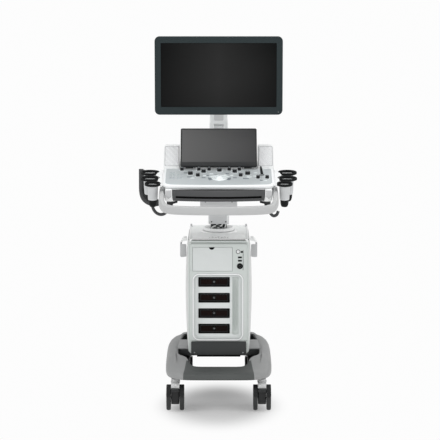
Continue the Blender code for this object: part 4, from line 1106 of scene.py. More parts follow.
def tower_hooks():
    """Cable hooks at the tower's shoulders: a clip bracket, a black rod painted as the shade of the hinge gap
    and a rounded hook blade.
    """
    for side, name in SIDES:
        low, high = BOX["tower_hook_" + name]
        inner = min(abs(low.x), abs(high.x))
        outer = max(abs(low.x), abs(high.x))
        node = "tower_hook_" + name
        upper = [(inner, high.z), (inner + 0.012, high.z), (outer - 0.006, high.z - 0.010),
            (outer - 0.001, high.z - 0.022), (outer - 0.005, high.z - 0.022),
            (outer - 0.010, high.z - 0.015), (inner + 0.006, high.z - 0.012), (inner, high.z - 0.012)]
        bracket = slab([(side * u, v) for u, v in upper], low.y + 0.004, high.y - 0.004)
        bevel(piece("hook_bracket_" + name, bracket, "base", "tray", replaces=(node,)), 0.0012, 3, 25)
        blade = [(outer - 0.0060, high.z - 0.021), (outer, high.z - 0.024), (outer, low.z + 0.004),
            (outer - 0.003, low.z), (outer - 0.0150, low.z), (outer - 0.0158, low.z + 0.004),
            (outer - 0.0150, low.z + 0.007), (outer - 0.0085, low.z + 0.0072),
            (outer - 0.0070, low.z + 0.010), (outer - 0.0070, high.z - 0.022)]
        hook = slab([(side * u, v) for u, v in blade], low.y, high.y)
        bevel(piece("hook_blade_" + name, hook, "base", "grey", node), 0.0015, 3, 25)
        front = soft_plate(tuple(sorted((side * (outer - 0.026), side * (outer - 0.001)))) + (low.z + 0.001,
            high.z - 0.026), 0.005, low.y - 0.0002, low.y + 0.004, 0.0012)
        piece("hook_face_" + name, front, "base", "grey", node)
        # painted shade: a black rod along the hinge line stands for the shade in its gap
        rod = sweep([(side * (outer - 0.0045), low.y + 0.001 + (high.y - low.y - 0.002) * i / 4,
            high.z - 0.0215) for i in range(5)], 0.0022, 0.0022, sides=12, power=2.0)
        piece("hook_gap_shade_" + name, rod, "base", "black", node)


# ---------------------------------------------------------------- column

def column():
    low, high = BOX["turntable"]
    centre = (low + high) / 2
    radius = high.x
    profile = [(0.052, low.z + 0.0006), (radius - 0.002, low.z + 0.0006), (radius, low.z + 0.003),
        (radius, high.z - 0.005), (radius - 0.0015, high.z - 0.002), (radius - 0.004, high.z - 0.0002),
        (radius - 0.010, high.z - 0.0012), (0.050, high.z - 0.0030)]
    piece("swivel_plate", turn(profile, (centre.x, centre.y, 0), sides=96), "column", "tray",
        replaces=("turntable",))
    low, high = BOX["lift_mast"]
    mast = soft_plate((low.x, high.x, low.y, high.y), 0.005, low.z, high.z, 0.001, "Z")
    piece("mast_profile", mast, "column", "black", replaces=("lift_mast",))
    grooves = []
    for side in (-1, 1):
        for offset in (-0.014, 0.0, 0.014):
            grooves.append(block((offset - 0.0015, low.y - 0.0006 if side < 0 else high.y - 0.0006,
                low.z + 0.001), (offset + 0.0015, low.y + 0.0006 if side < 0 else high.y + 0.0006,
                high.z - 0.01)))
    piece("mast_rails", merge(*grooves), "column", "steel", "lift_mast", smooth=False)
    sleeve_low, sleeve_high = BOX["column_sleeve"]
    cables = (("mast_cable_1", -0.030, -0.006, "cable_white", 0.0030),
        ("mast_cable_2", -0.004, 0.016, "cable_white", 0.0028), ("mast_cable_3", 0.026, 0.030,
        "cable_white", 0.0024), ("mast_cable_4", 0.012, -0.018, "dark", 0.0034))
    for name, start, end, material, thick in cables:
        front = low.y - 0.0062
        path = [(end, front + 0.001, sleeve_low.z + 0.001), (end * 0.8 + start * 0.2, front - 0.003,
            sleeve_low.z - 0.006), (start * 0.7 + end * 0.3, front - 0.006, low.z + 0.006),
            (start, front - 0.003, low.z - 0.0005)]
        piece(name, sweep(smooth_path(path, 8), thick, thick, wide=(0, 1, 0), sides=14, power=2.0),
            "column", material, "lift_mast")
    sleeve(sleeve_low, sleeve_high)


def sleeve(low, high):
    """Rectangular column sleeve with its console bracket, a painted highlight strip at its right front edge,
    foot screws and top cap.
    """
    half = 0.0435
    centre_y = JOINT["console_swivel"]["pos_m"][1]
    reach = high.y - centre_y
    outer = (-half, half, centre_y - reach, centre_y + reach)
    inner = (-half + 0.0065, half - 0.0065, centre_y - reach + 0.0065, centre_y + reach - 0.0065)
    tube = frame_plate(outer, 0.008, inner, 0.003, low.z, high.z - 0.004, "Z")
    piece("sleeve_tube", tube, "console", "column", replaces=("column_sleeve",))
    piece("sleeve_cap", soft_plate(outer, 0.008, high.z - 0.0045, high.z - 0.0002, 0.0015, "Z"), "console",
        "grey", "column_sleeve")
    bracket_low = 0.8085
    profile = [(low.y, 0.8595), (low.y, bracket_low + 0.012), (low.y + 0.010, bracket_low),
        (centre_y - reach - 0.0006, bracket_low), (centre_y - reach - 0.0006, 0.8610),
        (low.y + 0.01, 0.8610)]
    bracket = piece("console_bracket", slab(profile, low.x, high.x, "X"), "console", "column",
        "column_sleeve")
    bevel(bracket, 0.0030, 3, 20)
    heads = [screw_head((x, centre_y - reach, low.z + z), 0.0028) for x in (-0.030, 0.030)
        for z in (0.010, 0.040)]
    piece("sleeve_screws", merge(*heads), "console", "dark", "column_sleeve")
    # painted highlight: a white strip at the front's right edge stands for the light on the sleeve's right
    # side
    strip = soft_plate((half - 0.0095, half - 0.0020, low.z + 0.004, 0.806), 0.001,
        centre_y - reach - 0.0008, centre_y - reach + 0.001, 0.0004)
    piece("sleeve_highlight_strip", strip, "console", "white", "column_sleeve")
    clip = [screw_head((x, low.y, 0.835), 0.0035) for x in (-0.055, 0.055)]
    piece("bracket_screws", merge(*clip), "console", "steel", "column_sleeve")


# ---------------------------------------------------------------- console

DECK_LOW, DECK_HIGH = BOX["console_deck"]
DECK_TILT = math.radians(8.9)
DECK_THICKNESS = 0.015
DECK_FRONT_Z = DECK_LOW.z + DECK_THICKNESS * math.cos(DECK_TILT)
DECK_PLANE = Matrix.Translation((0, DECK_LOW.y, DECK_FRONT_Z)) @ Matrix.Rotation(DECK_TILT, 4, "X")
DECK_LENGTH = 0.2345


def on_deck(x, y):
    """Deck coordinates of a world X and Y on its top face."""
    return x, (y - DECK_LOW.y) / math.cos(DECK_TILT)


def deck_outline(inset, front_bow=0.014):
    """The deck's plan in its own plane: a bowed front edge and round corners."""
    half = DECK_HIGH.x - inset
    points = []
    for i in range(25):
        t = -1 + 2 * i / 24
        points.append((t * (half - 0.034), inset + front_bow * 0.45 * t * t))
    for step in range(1, 9):
        angle = math.pi / 2 * step / 8
        points.append((half - 0.034 + 0.034 * math.sin(angle),
            inset + front_bow * 0.45 + 0.030 * (1 - math.cos(angle))))
    rear = DECK_LENGTH - inset
    for step in range(9):
        angle = math.pi / 2 * step / 8
        points.append((half - 0.008 + 0.008 * math.cos(angle), rear - 0.008 + 0.008 * math.sin(angle)))
    mirrored = [(-x, y) for x, y in reversed(points[25:])]
    return points + mirrored


def deck():
    """White deck tray, the inset control panel, its printed grooves, keys, knobs, trackball and lever."""
    rings = []
    for inset, z in ((0.006, -DECK_THICKNESS), (0.0015, -DECK_THICKNESS + 0.0012),
            (0.0, -DECK_THICKNESS + 0.004), (0.0, -0.0052), (0.0010, -0.0022), (0.0032, -0.0005),
            (0.0060, 0.0), (0.0080, 0.0), (0.0088, -0.0008)):
        rings.append([(x, y, z) for x, y in deck_outline(inset)])
    shell = moved(skin(rings), DECK_PLANE)
    piece("deck_tray", shell, "console", "lip", replaces=("console_deck",))
    panel = [[(x, y, z) for x, y in deck_outline(inset)] for inset,
        z in ((0.0092, -0.0010), (0.0092, -0.0002), (0.0098, 0.0004))]
    piece("control_panel", moved(skin(panel), DECK_PLANE), "console", "deck", "console_deck")
    low_line = [[(x, y, z) for x, y in deck_outline(inset)] for inset,
        z in ((-0.0002, -0.0092), (-0.0004, -0.0086), (-0.0002, -0.0080))]
    seam = skin(low_line, caps=False)
    piece("deck_seam", moved(seam, DECK_PLANE), "console", "grey", "console_deck")
    trackball()
    keys()
    knobs()
    lever()


def deck_piece(name, bm, body, material, node="console_deck", replaces=()):
    return piece(name, moved(bm, DECK_PLANE), body, material, node, replaces)


def trackball():
    low, high = BOX["trackball"]
    centre = (low + high) / 2
    radius = (high.x - low.x) / 2
    bm = bmesh.new()
    bmesh.ops.create_icosphere(bm, subdivisions=5, radius=radius, matrix=Matrix.Translation(centre))
    piece("ball", bm, "ball", "ball", replaces=("trackball",))
    x, y = on_deck(centre.x, centre.y)
    halo = [(0.0192, -0.0005), (0.0250, -0.0005), (0.0250, 0.0010), (0.0232, 0.0024), (0.0208, 0.0030),
        (0.0194, 0.0022)]
    deck_piece("ball_ring", ring_turn(halo, (x, y, 0), "Z", 72), "console", "ball")
    skirt = [(0.0252, -0.0003), (0.0300, -0.0003), (0.0296, 0.0008), (0.0256, 0.0012)]
    deck_piece("ball_skirt", ring_turn(skirt, (x, y, 0), "Z", 72), "console", "key_light")


def key_cap(x, y, width, length, height=0.0022, radius=0.0012, base=0.0004):
    bounds = (x - width / 2, x + width / 2, y - length / 2, y + length / 2)
    rings = []
    for inset, z in ((0.0, base - 0.0006), (0.0, base + height * 0.6), (0.0003, base + height * 0.88),
            (0.0009, base + height)):
        rings.append([(u, v, z) for u, v in inset_rounded(bounds, radius, inset, 4)])
    return skin(rings)


def arc_keys(centre, inner, outer, start, end, count, height=0.0022):
    """Curved keys around the trackball."""
    parts = []
    for k in range(count):
        a0 = math.radians(start + (end - start) * k / count + 1.2)
        a1 = math.radians(start + (end - start) * (k + 1) / count - 1.2)
        edge = []
        steps = 6
        for i in range(steps + 1):
            a = a0 + (a1 - a0) * i / steps
            edge.append((centre[0] + outer * math.cos(a), centre[1] + outer * math.sin(a)))
        for i in range(steps + 1):
            a = a1 + (a0 - a1) * i / steps
            edge.append((centre[0] + inner * math.cos(a), centre[1] + inner * math.sin(a)))
        middle = ((inner + outer) / 2 * math.cos((a0 + a1) / 2) + centre[0],
            (inner + outer) / 2 * math.sin((a0 + a1) / 2) + centre[1])
        rings = []
        for shrink, z in ((1.0, -0.0002), (1.0, height * 0.6), (0.97, height * 0.9), (0.92, height)):
            rings.append([(middle[0] + (u - middle[0]) * shrink, middle[1] + (v - middle[1]) * shrink, z)
                for u, v in edge])
        parts.append(skin(rings))
    return merge(*parts)


def keys():
    """Keypads at the left, flat function keys between the knobs and curved keys around the trackball."""
    ball = on_deck((BOX["trackball"][0].x + BOX["trackball"][1].x) / 2,
        (BOX["trackball"][0].y + BOX["trackball"][1].y) / 2)
    grid = []
    light = []
    for column, x0 in enumerate((-0.1885, -0.1585)):
        for row in range(column, 4):
            for part in (-1, 1):
                x = x0 + part * 0.0064
                y = 0.168 - 0.0235 * row
                light.append(key_cap(x, y, 0.0106, 0.0100))
                grid.append(key_cap(x, y, 0.0066, 0.0030, 0.0004, 0.0006, 0.0026))
    deck_piece("keypad_dark", merge(*grid), "console", "key")
    deck_piece("keypad_light", merge(*light), "console", "key_pale")
    flats = ((-0.118, 0.112, 0.020), (-0.106, 0.098, 0.016), (-0.061, 0.101, 0.016), (-0.057, 0.131, 0.014),
        (-0.045, 0.133, 0.011), (-0.029, 0.156, 0.016), (-0.011, 0.139, 0.012), (0.026, 0.139, 0.012),
        (0.036, 0.156, 0.016), (0.052, 0.133, 0.014), (0.066, 0.101, 0.016), (0.124, 0.112, 0.022),
        (0.110, 0.090, 0.024), (0.146, 0.124, 0.013), (0.172, 0.066, 0.012), (0.190, 0.066, 0.012),
        (-0.135, 0.168, 0.016), (0.150, 0.168, 0.016), (-0.113, 0.176, 0.012), (0.120, 0.176, 0.012))
    dark = [key_cap(x, y, width, 0.0072, 0.0020, 0.0030) for x, y, width in flats[::2]]
    pale = [key_cap(x, y, width, 0.0072, 0.0020, 0.0030) for x, y, width in flats[1::2]]
    deck_piece("function_keys_dark", merge(*dark), "console", "key")
    deck_piece("function_keys_light", merge(*pale), "console", "key_light")
    deck_piece("cursor_keys_upper", arc_keys(ball, 0.034, 0.046, 22, 158, 4), "console", "key_light")
    deck_piece("cursor_keys_left", arc_keys(ball, 0.034, 0.046, 165, 212, 1), "console", "key")
    deck_piece("cursor_keys_right", arc_keys(ball, 0.034, 0.046, -32, 15, 1), "console", "key")
    lamps = [turn([(0.0012, 0.0), (0.0012, 0.0008), (0.0006, 0.0011)], (x, y, 0.0002), sides=12) for x, y,
        width in flats for y in (y + 0.0072,)]
    deck_piece("key_lamps", merge(*lamps), "console", "grey")
    marks = [key_cap(x, 0.052, 0.026, 0.0050, 0.0007, 0.0024) for x in (-0.030, 0.0, 0.030)]
    deck_piece("palm_marks", merge(*marks), "console", "deck")


def knob_shape(x, y, radius, height, flutes=24):
    """A fluted rubber grip that widens to its skirt, without its cap."""
    rings = []
    sides = flutes * 4
    levels = ((1.08, 0.0002), (1.10, 0.0010), (1.04, 0.0022), (0.98, 0.0030), (0.96, height * 0.82),
        (0.93, height * 0.93), (0.86, height * 0.985), (0.80, height))
    for share, z in levels:
        ring = []
        depth = 0.045 if 0.0028 < z < height * 0.9 else 0.0
        for i in range(sides):
            angle = math.tau * i / sides
            r = radius * share * (1 - depth * (0.5 + 0.5 * math.cos(flutes * angle)))
            ring.append((x + r * math.cos(angle), y + r * math.sin(angle), z))
        rings.append(ring)
    return skin(rings)


def knobs():
    for node in sorted(n for n in BOX if n.startswith("knob_")):
        number = node[-2:]
        low, high = BOX[node]
        radius = (high.x - low.x) / 2
        foot = Vector(JOINT["turn_" + number]["pos_m"])
        x, y = on_deck(foot.x, foot.y)
        body = "knob_body_" + number
        height = 0.0130
        flutes = 18 if radius < 0.0095 else 26
        deck_piece("knob_grip_" + number, knob_shape(x, y, radius * 0.92, height, flutes), body, "knob",
            node, (node,))
        cap = [(radius * 0.72, height - 0.0006), (radius * 0.74, height + 0.0001),
            (radius * 0.66, height + 0.0005), (radius * 0.2, height + 0.0002)]
        deck_piece("knob_cap_" + number, turn(cap, (x, y, 0), sides=40), body, "knob_cap", node)
        line = block((x - 0.0005, y + radius * 0.25, height), (x + 0.0005, y + radius * 0.66,
            height + 0.0008), 0.0002, 1)
        deck_piece("knob_line_" + number, line, body, "key_light", node)
        seat = [(radius * 1.05, -0.0002), (radius * 1.32, -0.0002), (radius * 1.30, 0.0007),
            (radius * 1.08, 0.0010)]
        deck_piece("knob_seat_" + number, ring_turn(seat, (x, y, 0), "Z", 48), "console", "key_light")


def lever():
    pivot = Vector(JOINT["lever_tilt"]["pos_m"])
    x, y = on_deck(pivot.x, pivot.y)
    base = 0.0030
    rings = []
    for z, width, length, back in ((base, 0.0044, 0.0020, 0.0), (base + 0.0030, 0.0058, 0.0046, 0.0),
            (0.014, 0.0056, 0.0040, 0.0004), (0.024, 0.0050, 0.0042, 0.0008),
            (0.031, 0.0044, 0.0040, 0.0010), (0.0350, 0.0036, 0.0032, 0.0012),
            (0.0362, 0.0020, 0.0018, 0.0012)):
        rings.append([(x + u - 0.16 * (z - base), y + v + back, z) for u,
            v in rounded(-width, width, -length, length, width * 0.6, 5)])
    deck_piece("lever_paddle", skin(rings), "lever", "knob", "paddle_lever", ("paddle_lever",))
    boot = [(0.0058, 0.0), (0.0105, 0.0), (0.0100, 0.0007), (0.0080, 0.0012), (0.0062, 0.0009)]
    deck_piece("lever_boot", ring_turn(boot, (x, y, 0), "Z", 40), "console", "black")


def console_base():
    """White tub with side cheeks, the drawer bay, and two rear wings that carry ribbed grilles."""
    half = 0.215
    cheek_in = BOX["keyboard_drawer"][1].x + 0.0022
    for side, name in SIDES:
        rings = []
        for x, shrink in ((cheek_in, 0.0), (half - 0.010, 0.0), (half - 0.004, 0.0012),
                (half - 0.0012, 0.0035), (half - 0.0002, 0.0075)):
            profile = [(-0.281 + shrink, 0.8770 + shrink), (-0.160, 0.8705 + shrink),
                (0.020, 0.8625 + shrink), (0.107 - shrink, 0.8725 + shrink),
                (0.107 - shrink, 0.962 - shrink), (-0.030, 0.9655 - shrink), (-0.056, 0.9625 - shrink),
                (-0.281 + shrink, 0.9270 - shrink)]
            rings.append([(side * x, y, z) for y, z in profile])
        replaced = ("console_base",) if side < 0 else ()
        item = piece("cheek_" + name, skin(rings), "console", "white", "console_base", replaced)
        bevel(item, 0.0030, 3, 35)
        # painted shade: a flat grey plate on each cheek's front stands for the triangle of shade on its
        # corner
        shade_outline = [(0.190, 0.9225), (0.2125, 0.9215), (0.2135, 0.9000), (0.2010, 0.8870), (0.190, 0.8960)]
        plate = slab([(side * u, v) for u, v in shade_outline], -0.2835, -0.2800)
        bevel(piece("cheek_shade_patch_" + name, plate, "console", "grey", "console_base"), 0.0012, 2, 30)
        clip = [(0.166, 0.8690), (0.206, 0.8660), (0.204, 0.8600), (0.197, 0.8575), (0.193, 0.8470),
            (0.186, 0.8470), (0.184, 0.8600), (0.166, 0.8640)]
        hook = slab([(side * u, v) for u, v in clip], -0.236, -0.214)
        bevel(piece("under_clip_" + name, hook, "console", "black", "console_base"), 0.0015, 2, 25)
    roof = [(-0.281, 0.9268), (-0.281, 0.9255), (-0.060, 0.9262), (-0.060, 0.8645), (0.020, 0.8630),
        (0.106, 0.8732), (0.106, 0.984), (-0.030, 0.9672), (-0.056, 0.9622)]
    body = piece("tub_core", slab(roof, -cheek_in - 0.001, cheek_in + 0.001, "X"), "console", "white",
        "console_base")
    ball = Vector(JOINT["ball_roll"]["pos_m"])
    well = tool(turn([(0.0200, -0.03), (0.0200, 0.03)], (ball.x, ball.y, ball.z + 0.004), sides=48))
    apply_boolean(body, well)
    bevel(body, 0.0020, 3, 30)
    slats = [block((-0.150, 0.1058, 0.885 + 0.012 * i), (0.150, 0.1078, 0.890 + 0.012 * i), 0.0006, 1)
        for i in range(7)]
    piece("tub_vents", merge(*slats), "console", "grey", "console_base")
    for side, name in SIDES:
        wing(side, name)


def wing(side, name):
    """Rear wing: a rounded housing whose slanted face holds a grille of wavy ribs."""
    inner, outer = 0.1625, BOX["console_base"][1].x - 0.0004
    rings = []
    for x, shrink in ((inner, 0.002), (inner + 0.0015, 0.0), (outer - 0.010, 0.0), (outer - 0.0045, 0.0016),
            (outer - 0.0012, 0.0055), (outer, 0.0110)):
        profile = [(-0.050 + shrink * 0.6, 0.953), (0.1035 - shrink, 0.953),
            (0.1035 - shrink, 1.030 - shrink), (0.083 - shrink * 0.5, 1.0595 - shrink),
            (0.034, 1.0617 - shrink), (-0.049 + shrink * 0.7, 0.9835 - shrink * 0.7)]
        rings.append([(side * x, y, z) for y, z in profile])
    bevel(piece("wing_" + name, skin(rings), "console", "white", "console_base"), 0.0050, 4, 25)
    foot = Vector((0, -0.0485, 0.9842))
    top = Vector((0, 0.0335, 1.0608))
    run = top - foot
    length = run.length
    lean = math.atan2(run.z, run.y)
    plane = Matrix.Translation(foot) @ Matrix.Rotation(lean, 4, "X")
    left, right = sorted((side * (inner + 0.0022), side * (outer - 0.0050)))
    lip = frame_plate((left - 0.0012, right + 0.0012, 0.0030, length - 0.0030), 0.0075,
        (left, right, 0.0042, length - 0.0042), 0.0065, 0.0012, -0.0010, "Z", edge=0.0004)
    piece("grille_frame_" + name, moved(lip, plane), "console", "grey", "console_base")
    ribs = []
    count = 18
    for i in range(count):
        x = left + 0.0035 + (right - left - 0.007) * i / (count - 1)
        rows = []
        for step in range(33):
            v = 0.0062 + (length - 0.0124) * step / 32
            wave = 0.0011 * math.sin(math.tau * (v / 0.030 + i * 0.13))
            crown = 0.0010
            rows.append([(x + wave - 0.0009, v, 0.0000), (x + wave - 0.0006, v, crown),
                (x + wave + 0.0006, v, crown), (x + wave + 0.0009, v, 0.0000)])
        ribs.append(skin(rows))
    piece("grille_ribs_" + name, moved(merge(*ribs), plane), "console", "grille", "console_base")
    floor = soft_plate((left, right, 0.0042, length - 0.0042), 0.0065, -0.0006, 0.0003, 0.0002, "Z")
    piece("grille_floor_" + name, moved(floor, plane), "console", "column", "console_base")


def handle():
    """One big rounded bar that flows from the console's flanks around the front."""
    low, high = BOX["handle"]
    reach = high.x - 0.0117
    bar_y = low.y + 0.0117
    bar_z = low.z + 0.0180
    half = [(reach, -0.122, 0.899), (reach, -0.190, 0.899), (reach, -0.250, 0.898), (reach, -0.285, 0.891),
        (reach - 0.0014, -0.312, 0.875), (reach - 0.0134, -0.334, 0.8600), (reach - 0.0384, -0.346, 0.8545),
        (0.140, -0.3575, 0.8532), (0.080, bar_y + 0.0026, bar_z)]
    path = [(-x, y, z) for x, y, z in half] + [(0, bar_y, bar_z)] + list(reversed(half))
    bar = sweep(smooth_path(path, 10), 0.0113, 0.0177, sides=36, power=3.2)
    piece("front_handle", bar, "console", "handle", replaces=("handle",))
    for side, name in SIDES:
        heads = [screw_head((side * (reach - 0.0112), y, 0.899), 0.0030, "X", -side)
            for y in (-0.150, -0.200)]
        piece("handle_screws_" + name, merge(*heads), "console", "steel", "handle")


DRAWER_BOW = 0.024


def bow_points(low, high):
    """The drawer's bowed front edge from left to right."""
    half = (high.x - low.x) / 2
    steps = [half * step / 20 for step in range(-20, 21)]
    return [((low.x + high.x) / 2 + x, low.y + DRAWER_BOW * (x / half) ** 2) for x in steps]


def bowed_slab(low, high, margin, near, far, bottom, top):
    """A level slab that follows the drawer's bowed front, between two depths behind that front."""
    middle = (low.x + high.x) / 2
    half = (high.x - low.x) / 2
    front, back = [], []
    for step in range(-20, 21):
        x = (half - margin) * step / 20
        y = low.y + DRAWER_BOW * (x / half) ** 2
        front.append((middle + x, y + near))
        back.append((middle + x, y + far))
    return slab(front + list(reversed(back)), bottom, top, "Z")


def drawer():
    """Keyboard drawer: bowed dark front with a long finger slot, thin walls and a full keyboard inside."""
    low, high = BOX["keyboard_drawer"]
    straight = low.y + DRAWER_BOW
    well = (low.x + 0.010, high.x - 0.010, straight + 0.014, high.y - 0.010)
    floor = low.z + 0.012
    middle = [(low.x, straight + 0.0135), (high.x, straight + 0.0135)]
    outline = bow_points(low, high) + [middle[1], middle[0]]
    item = piece("drawer_front", slab(outline, low.z + 0.0005, high.z, "Z"), "drawer", "drawer",
        replaces=("keyboard_drawer",))
    slot_low, slot_high = low.z + 0.0115, low.z + 0.0200
    apply_boolean(item, tool(bowed_slab(low, high, 0.012, -0.010, 0.0075, slot_low, slot_high)))
    bevel(item, 0.0012, 2, 40)
    # painted shade: a near-black strip at the back of the finger slot stands for its shade
    slot = bowed_slab(low, high, 0.0124, 0.0062, 0.0072, slot_low + 0.0003, slot_high - 0.0003)
    piece("grip_slot_back", slot, "drawer", "void", "keyboard_drawer")
    walls = [block((low.x, straight + 0.013, low.z + 0.0005), (well[0], high.y, high.z), 0.0010, 2),
        block((well[1], straight + 0.013, low.z + 0.0005), (high.x, high.y, high.z), 0.0010, 2),
        block((well[0] - 0.001, well[3], low.z + 0.0005), (well[1] + 0.001, high.y, high.z), 0.0010, 2),
        block((well[0] - 0.001, straight + 0.013, low.z + 0.0005), (well[1] + 0.001, well[3] + 0.001,
        floor), 0.0006, 1)]
    piece("drawer_tray", merge(*walls), "drawer", "dark", "keyboard_drawer")
    rails = [block((sorted((side * (high.x - 0.0008), side * (high.x + 0.0012)))[0], straight + 0.020,
        low.z + 0.018), (sorted((side * (high.x - 0.0008), side * (high.x + 0.0012)))[1], high.y - 0.004,
        low.z + 0.028), 0.0004, 1) for side in (-1, 1)]
    piece("drawer_rails", merge(*rails), "drawer", "steel", "keyboard_drawer")
    keyboard(well, floor)


def keyboard(well, floor):
    """Six rows of caps on a plate: staggered letters, a wide space bar and wider end keys."""
    left, right, front, rear = well
    plate = soft_plate((left + 0.004, right - 0.004, front + 0.012, rear - 0.004), 0.004, floor + 0.0002,
        floor + 0.0060, 0.0008, "Z")
    piece("keyboard_plate", plate, "drawer", "black", "keyboard_drawer")
    caps = []
    pitch = (right - left - 0.020) / 17
    row_pitch = (rear - front - 0.026) / 6
    for row in range(6):
        y = front + 0.019 + row_pitch * (row + 0.5)
        x = left + 0.010
        widths = [1.0] * 17
        if row == 0:
            widths = [1.25, 1.0, 1.25, 6.25, 1.25, 1.0, 1.0, 1.0, 1.0, 1.0, 1.0]
        if row == 1:
            widths = [2.25] + [1.0] * 10 + [2.75, 1.0, 1.0]
        if row == 2:
            widths = [1.75] + [1.0] * 11 + [2.25, 1.0, 1.0]
        if row == 3:
            widths = [1.5] + [1.0] * 12 + [1.5, 1.0, 1.0]
        for width in widths:
            span = width * pitch
            bounds = (x + 0.0007, x + span - 0.0007, y - row_pitch / 2 + 0.0008, y + row_pitch / 2 - 0.0008)
            rings = []
            for inset, z in ((0.0, 0.0060), (0.0002, 0.0078), (0.0014, 0.0104), (0.0022, 0.0108)):
                rings.append([(u, v, floor + z) for u, v in inset_rounded(bounds, 0.0016, inset, 3)])
            caps.append(skin(rings))
            x += span
    piece("keyboard_keys", merge(*caps), "drawer", "drawer", "keyboard_drawer")


TOUCH_EDGE = (0, -0.080, 0.992)
TOUCH_LEAN = math.radians(47.0)
TOUCH_LENGTH = 0.1907
TOUCH_THICKNESS = 0.016


def touch_screen():
    """Tilting touch panel: slim shell, inset glass and a vented back. Its hinge pins ride on the console."""
    half = BOX["touch_bezel"][1].x
    plane = Matrix.Translation(TOUCH_EDGE) @ Matrix.Rotation(TOUCH_LEAN, 4, "X")
    length = TOUCH_LENGTH
    thickness = TOUCH_THICKNESS
    bounds = (-half, half, 0.0, length)
    rings = []
    for inset, z in ((0.0130, -thickness), (0.0060, -thickness + 0.0006), (0.0018, -thickness + 0.0030),
            (0.0, -thickness + 0.0070), (0.0, -0.0016), (0.0004, -0.0005), (0.0012, 0.0)):
        rings.append([(u, v, z) for u, v in inset_rounded(bounds, 0.0060, inset, 8)])
    shell = piece("touch_shell", moved(skin(rings), plane), "touch_screen", "touch",
        replaces=("touch_bezel",))
    chin, rim = 0.020, 0.0060
    glass_bounds = (-half + rim, half - rim, chin, length - rim)
    pocket = tool(moved(slab(rounded(*glass_bounds, 0.002, 4), -0.0020, 0.01, "Z"), plane))
    apply_boolean(shell, pocket)
    pane = soft_plate(tuple(v + d for v, d in zip(glass_bounds, (0.0003, -0.0003, 0.0003, -0.0003))),
        0.0018, -0.0019, -0.0002, 0.0003, "Z")
    piece("touch_pane", moved(pane, plane), "touch_screen", "touch_screen", replaces=("touch_glass",))
    # painted shade: the vent slots are near-black plates standing for the shade inside them
    slots = [slab(rounded(-0.060 + 0.012 * i - 0.0035, -0.060 + 0.012 * i + 0.0035, 0.145, 0.160, 0.003, 4),
        -thickness - 0.0004, -thickness + 0.0004, "Z") for i in range(11)]
    piece("touch_vents", moved(merge(*slots), plane), "touch_screen", "void", "touch_bezel")
    for side, name in SIDES:
        pin = turn([(0.0026, -0.016), (0.0030, -0.015), (0.0030, 0.015), (0.0026, 0.016)],
            (side * 0.120, -0.0668, 0.9822), "X", 24)
        piece("touch_hinge_" + name, pin, "console", "dark", "console_base")
        lugs = [block((side * 0.120 + d - 0.0032, -0.0600, 0.969), (side * 0.120 + d + 0.0032, -0.0470,
            0.983), 0.0015) for d in (-0.021, 0.021)]
        piece("touch_hinge_mount_" + name, merge(*lugs), "console", "grey", "console_base")


def tilted(bm, centre, stretch=1.0, flatten=1.0):
    """Lean a piece modelled upright about its ring's centre, the way the deck leans."""
    place = Matrix.Translation(centre)
    shape = Matrix.Diagonal((stretch, flatten, 1, 1))
    return moved(bm, place @ Matrix.Rotation(DECK_TILT, 4, "X") @ shape @ place.inverted())


RING_PLACES = ((-0.240, 0.2655, 0.9416, 1.0), (-0.160, 0.2780, 0.9515, 1.25),
    (-0.080, 0.2810, 0.9638, 1.22))
RING_PROFILE = ((0.0236, -0.0046), (0.0242, -0.0052), (0.0298, -0.0053), (0.0318, -0.0042),
    (0.0323, -0.0020), (0.0323, 0.0020), (0.0318, 0.0042), (0.0306, 0.0052), (0.0290, 0.0053),
    (0.0272, 0.0040), (0.0252, 0.0012), (0.0240, -0.0020),)
CUP_PROFILE = ((0.0186, -0.0056), (0.0212, -0.0056), (0.0211, -0.0100), (0.0204, -0.0380),
    (0.0194, -0.0600), (0.0190, -0.0640), (0.0165, -0.0640), (0.0172, -0.0590), (0.0182, -0.0300),)
TIP_PROFILE = ((0.0148, -0.0643), (0.0172, -0.0643), (0.0172, -0.0700), (0.0164, -0.0800),
    (0.0148, -0.0885), (0.0122, -0.0940), (0.0098, -0.0945), (0.0098, -0.0925), (0.0125, -0.0850),)
RAIL_OUTLINE = ((0.2280, -0.260), (0.2280, -0.054), (0.2500, -0.054), (0.2470, -0.080), (0.2560, -0.120),
    (0.2440, -0.160), (0.2460, -0.200), (0.2370, -0.240), (0.2330, -0.260),)


def holders():
    """Probe rings over white tapered cups, the long holder and the cable hooks."""
    parts = (("ring", RING_PROFILE, "ring", 0.83), ("cup", CUP_PROFILE, "cup", 1.0),
        ("tip", TIP_PROFILE, "ring", 1.0))
    for side, name in SIDES:
        node = "probe_holder_" + name
        replaced = (node,)
        for number, (y, x, z, stretch) in enumerate(RING_PLACES, 1):
            centre = (side * x, y, z)
            for part, profile, material, flatten in parts:
                bm = tilted(ring_turn(profile, centre, "Z", 72), centre, stretch, flatten)
                piece("probe_%s_%s_%d" % (part, name, number), bm, "console", material, node, replaced)
                replaced = ()
        middle = RING_PLACES[1]
        plate = slab([(side * u, v) for u, v in RAIL_OUTLINE], middle[2] - 0.0045, middle[2] + 0.0045, "Z")
        item = piece("probe_rail_" + name, tilted(plate, (0, middle[0], middle[2])), "console", "white",
            node)
        bevel(item, 0.0015, 3, 30)
    long_holder()
    for side, name in SIDES:
        cable_hook(side, name)


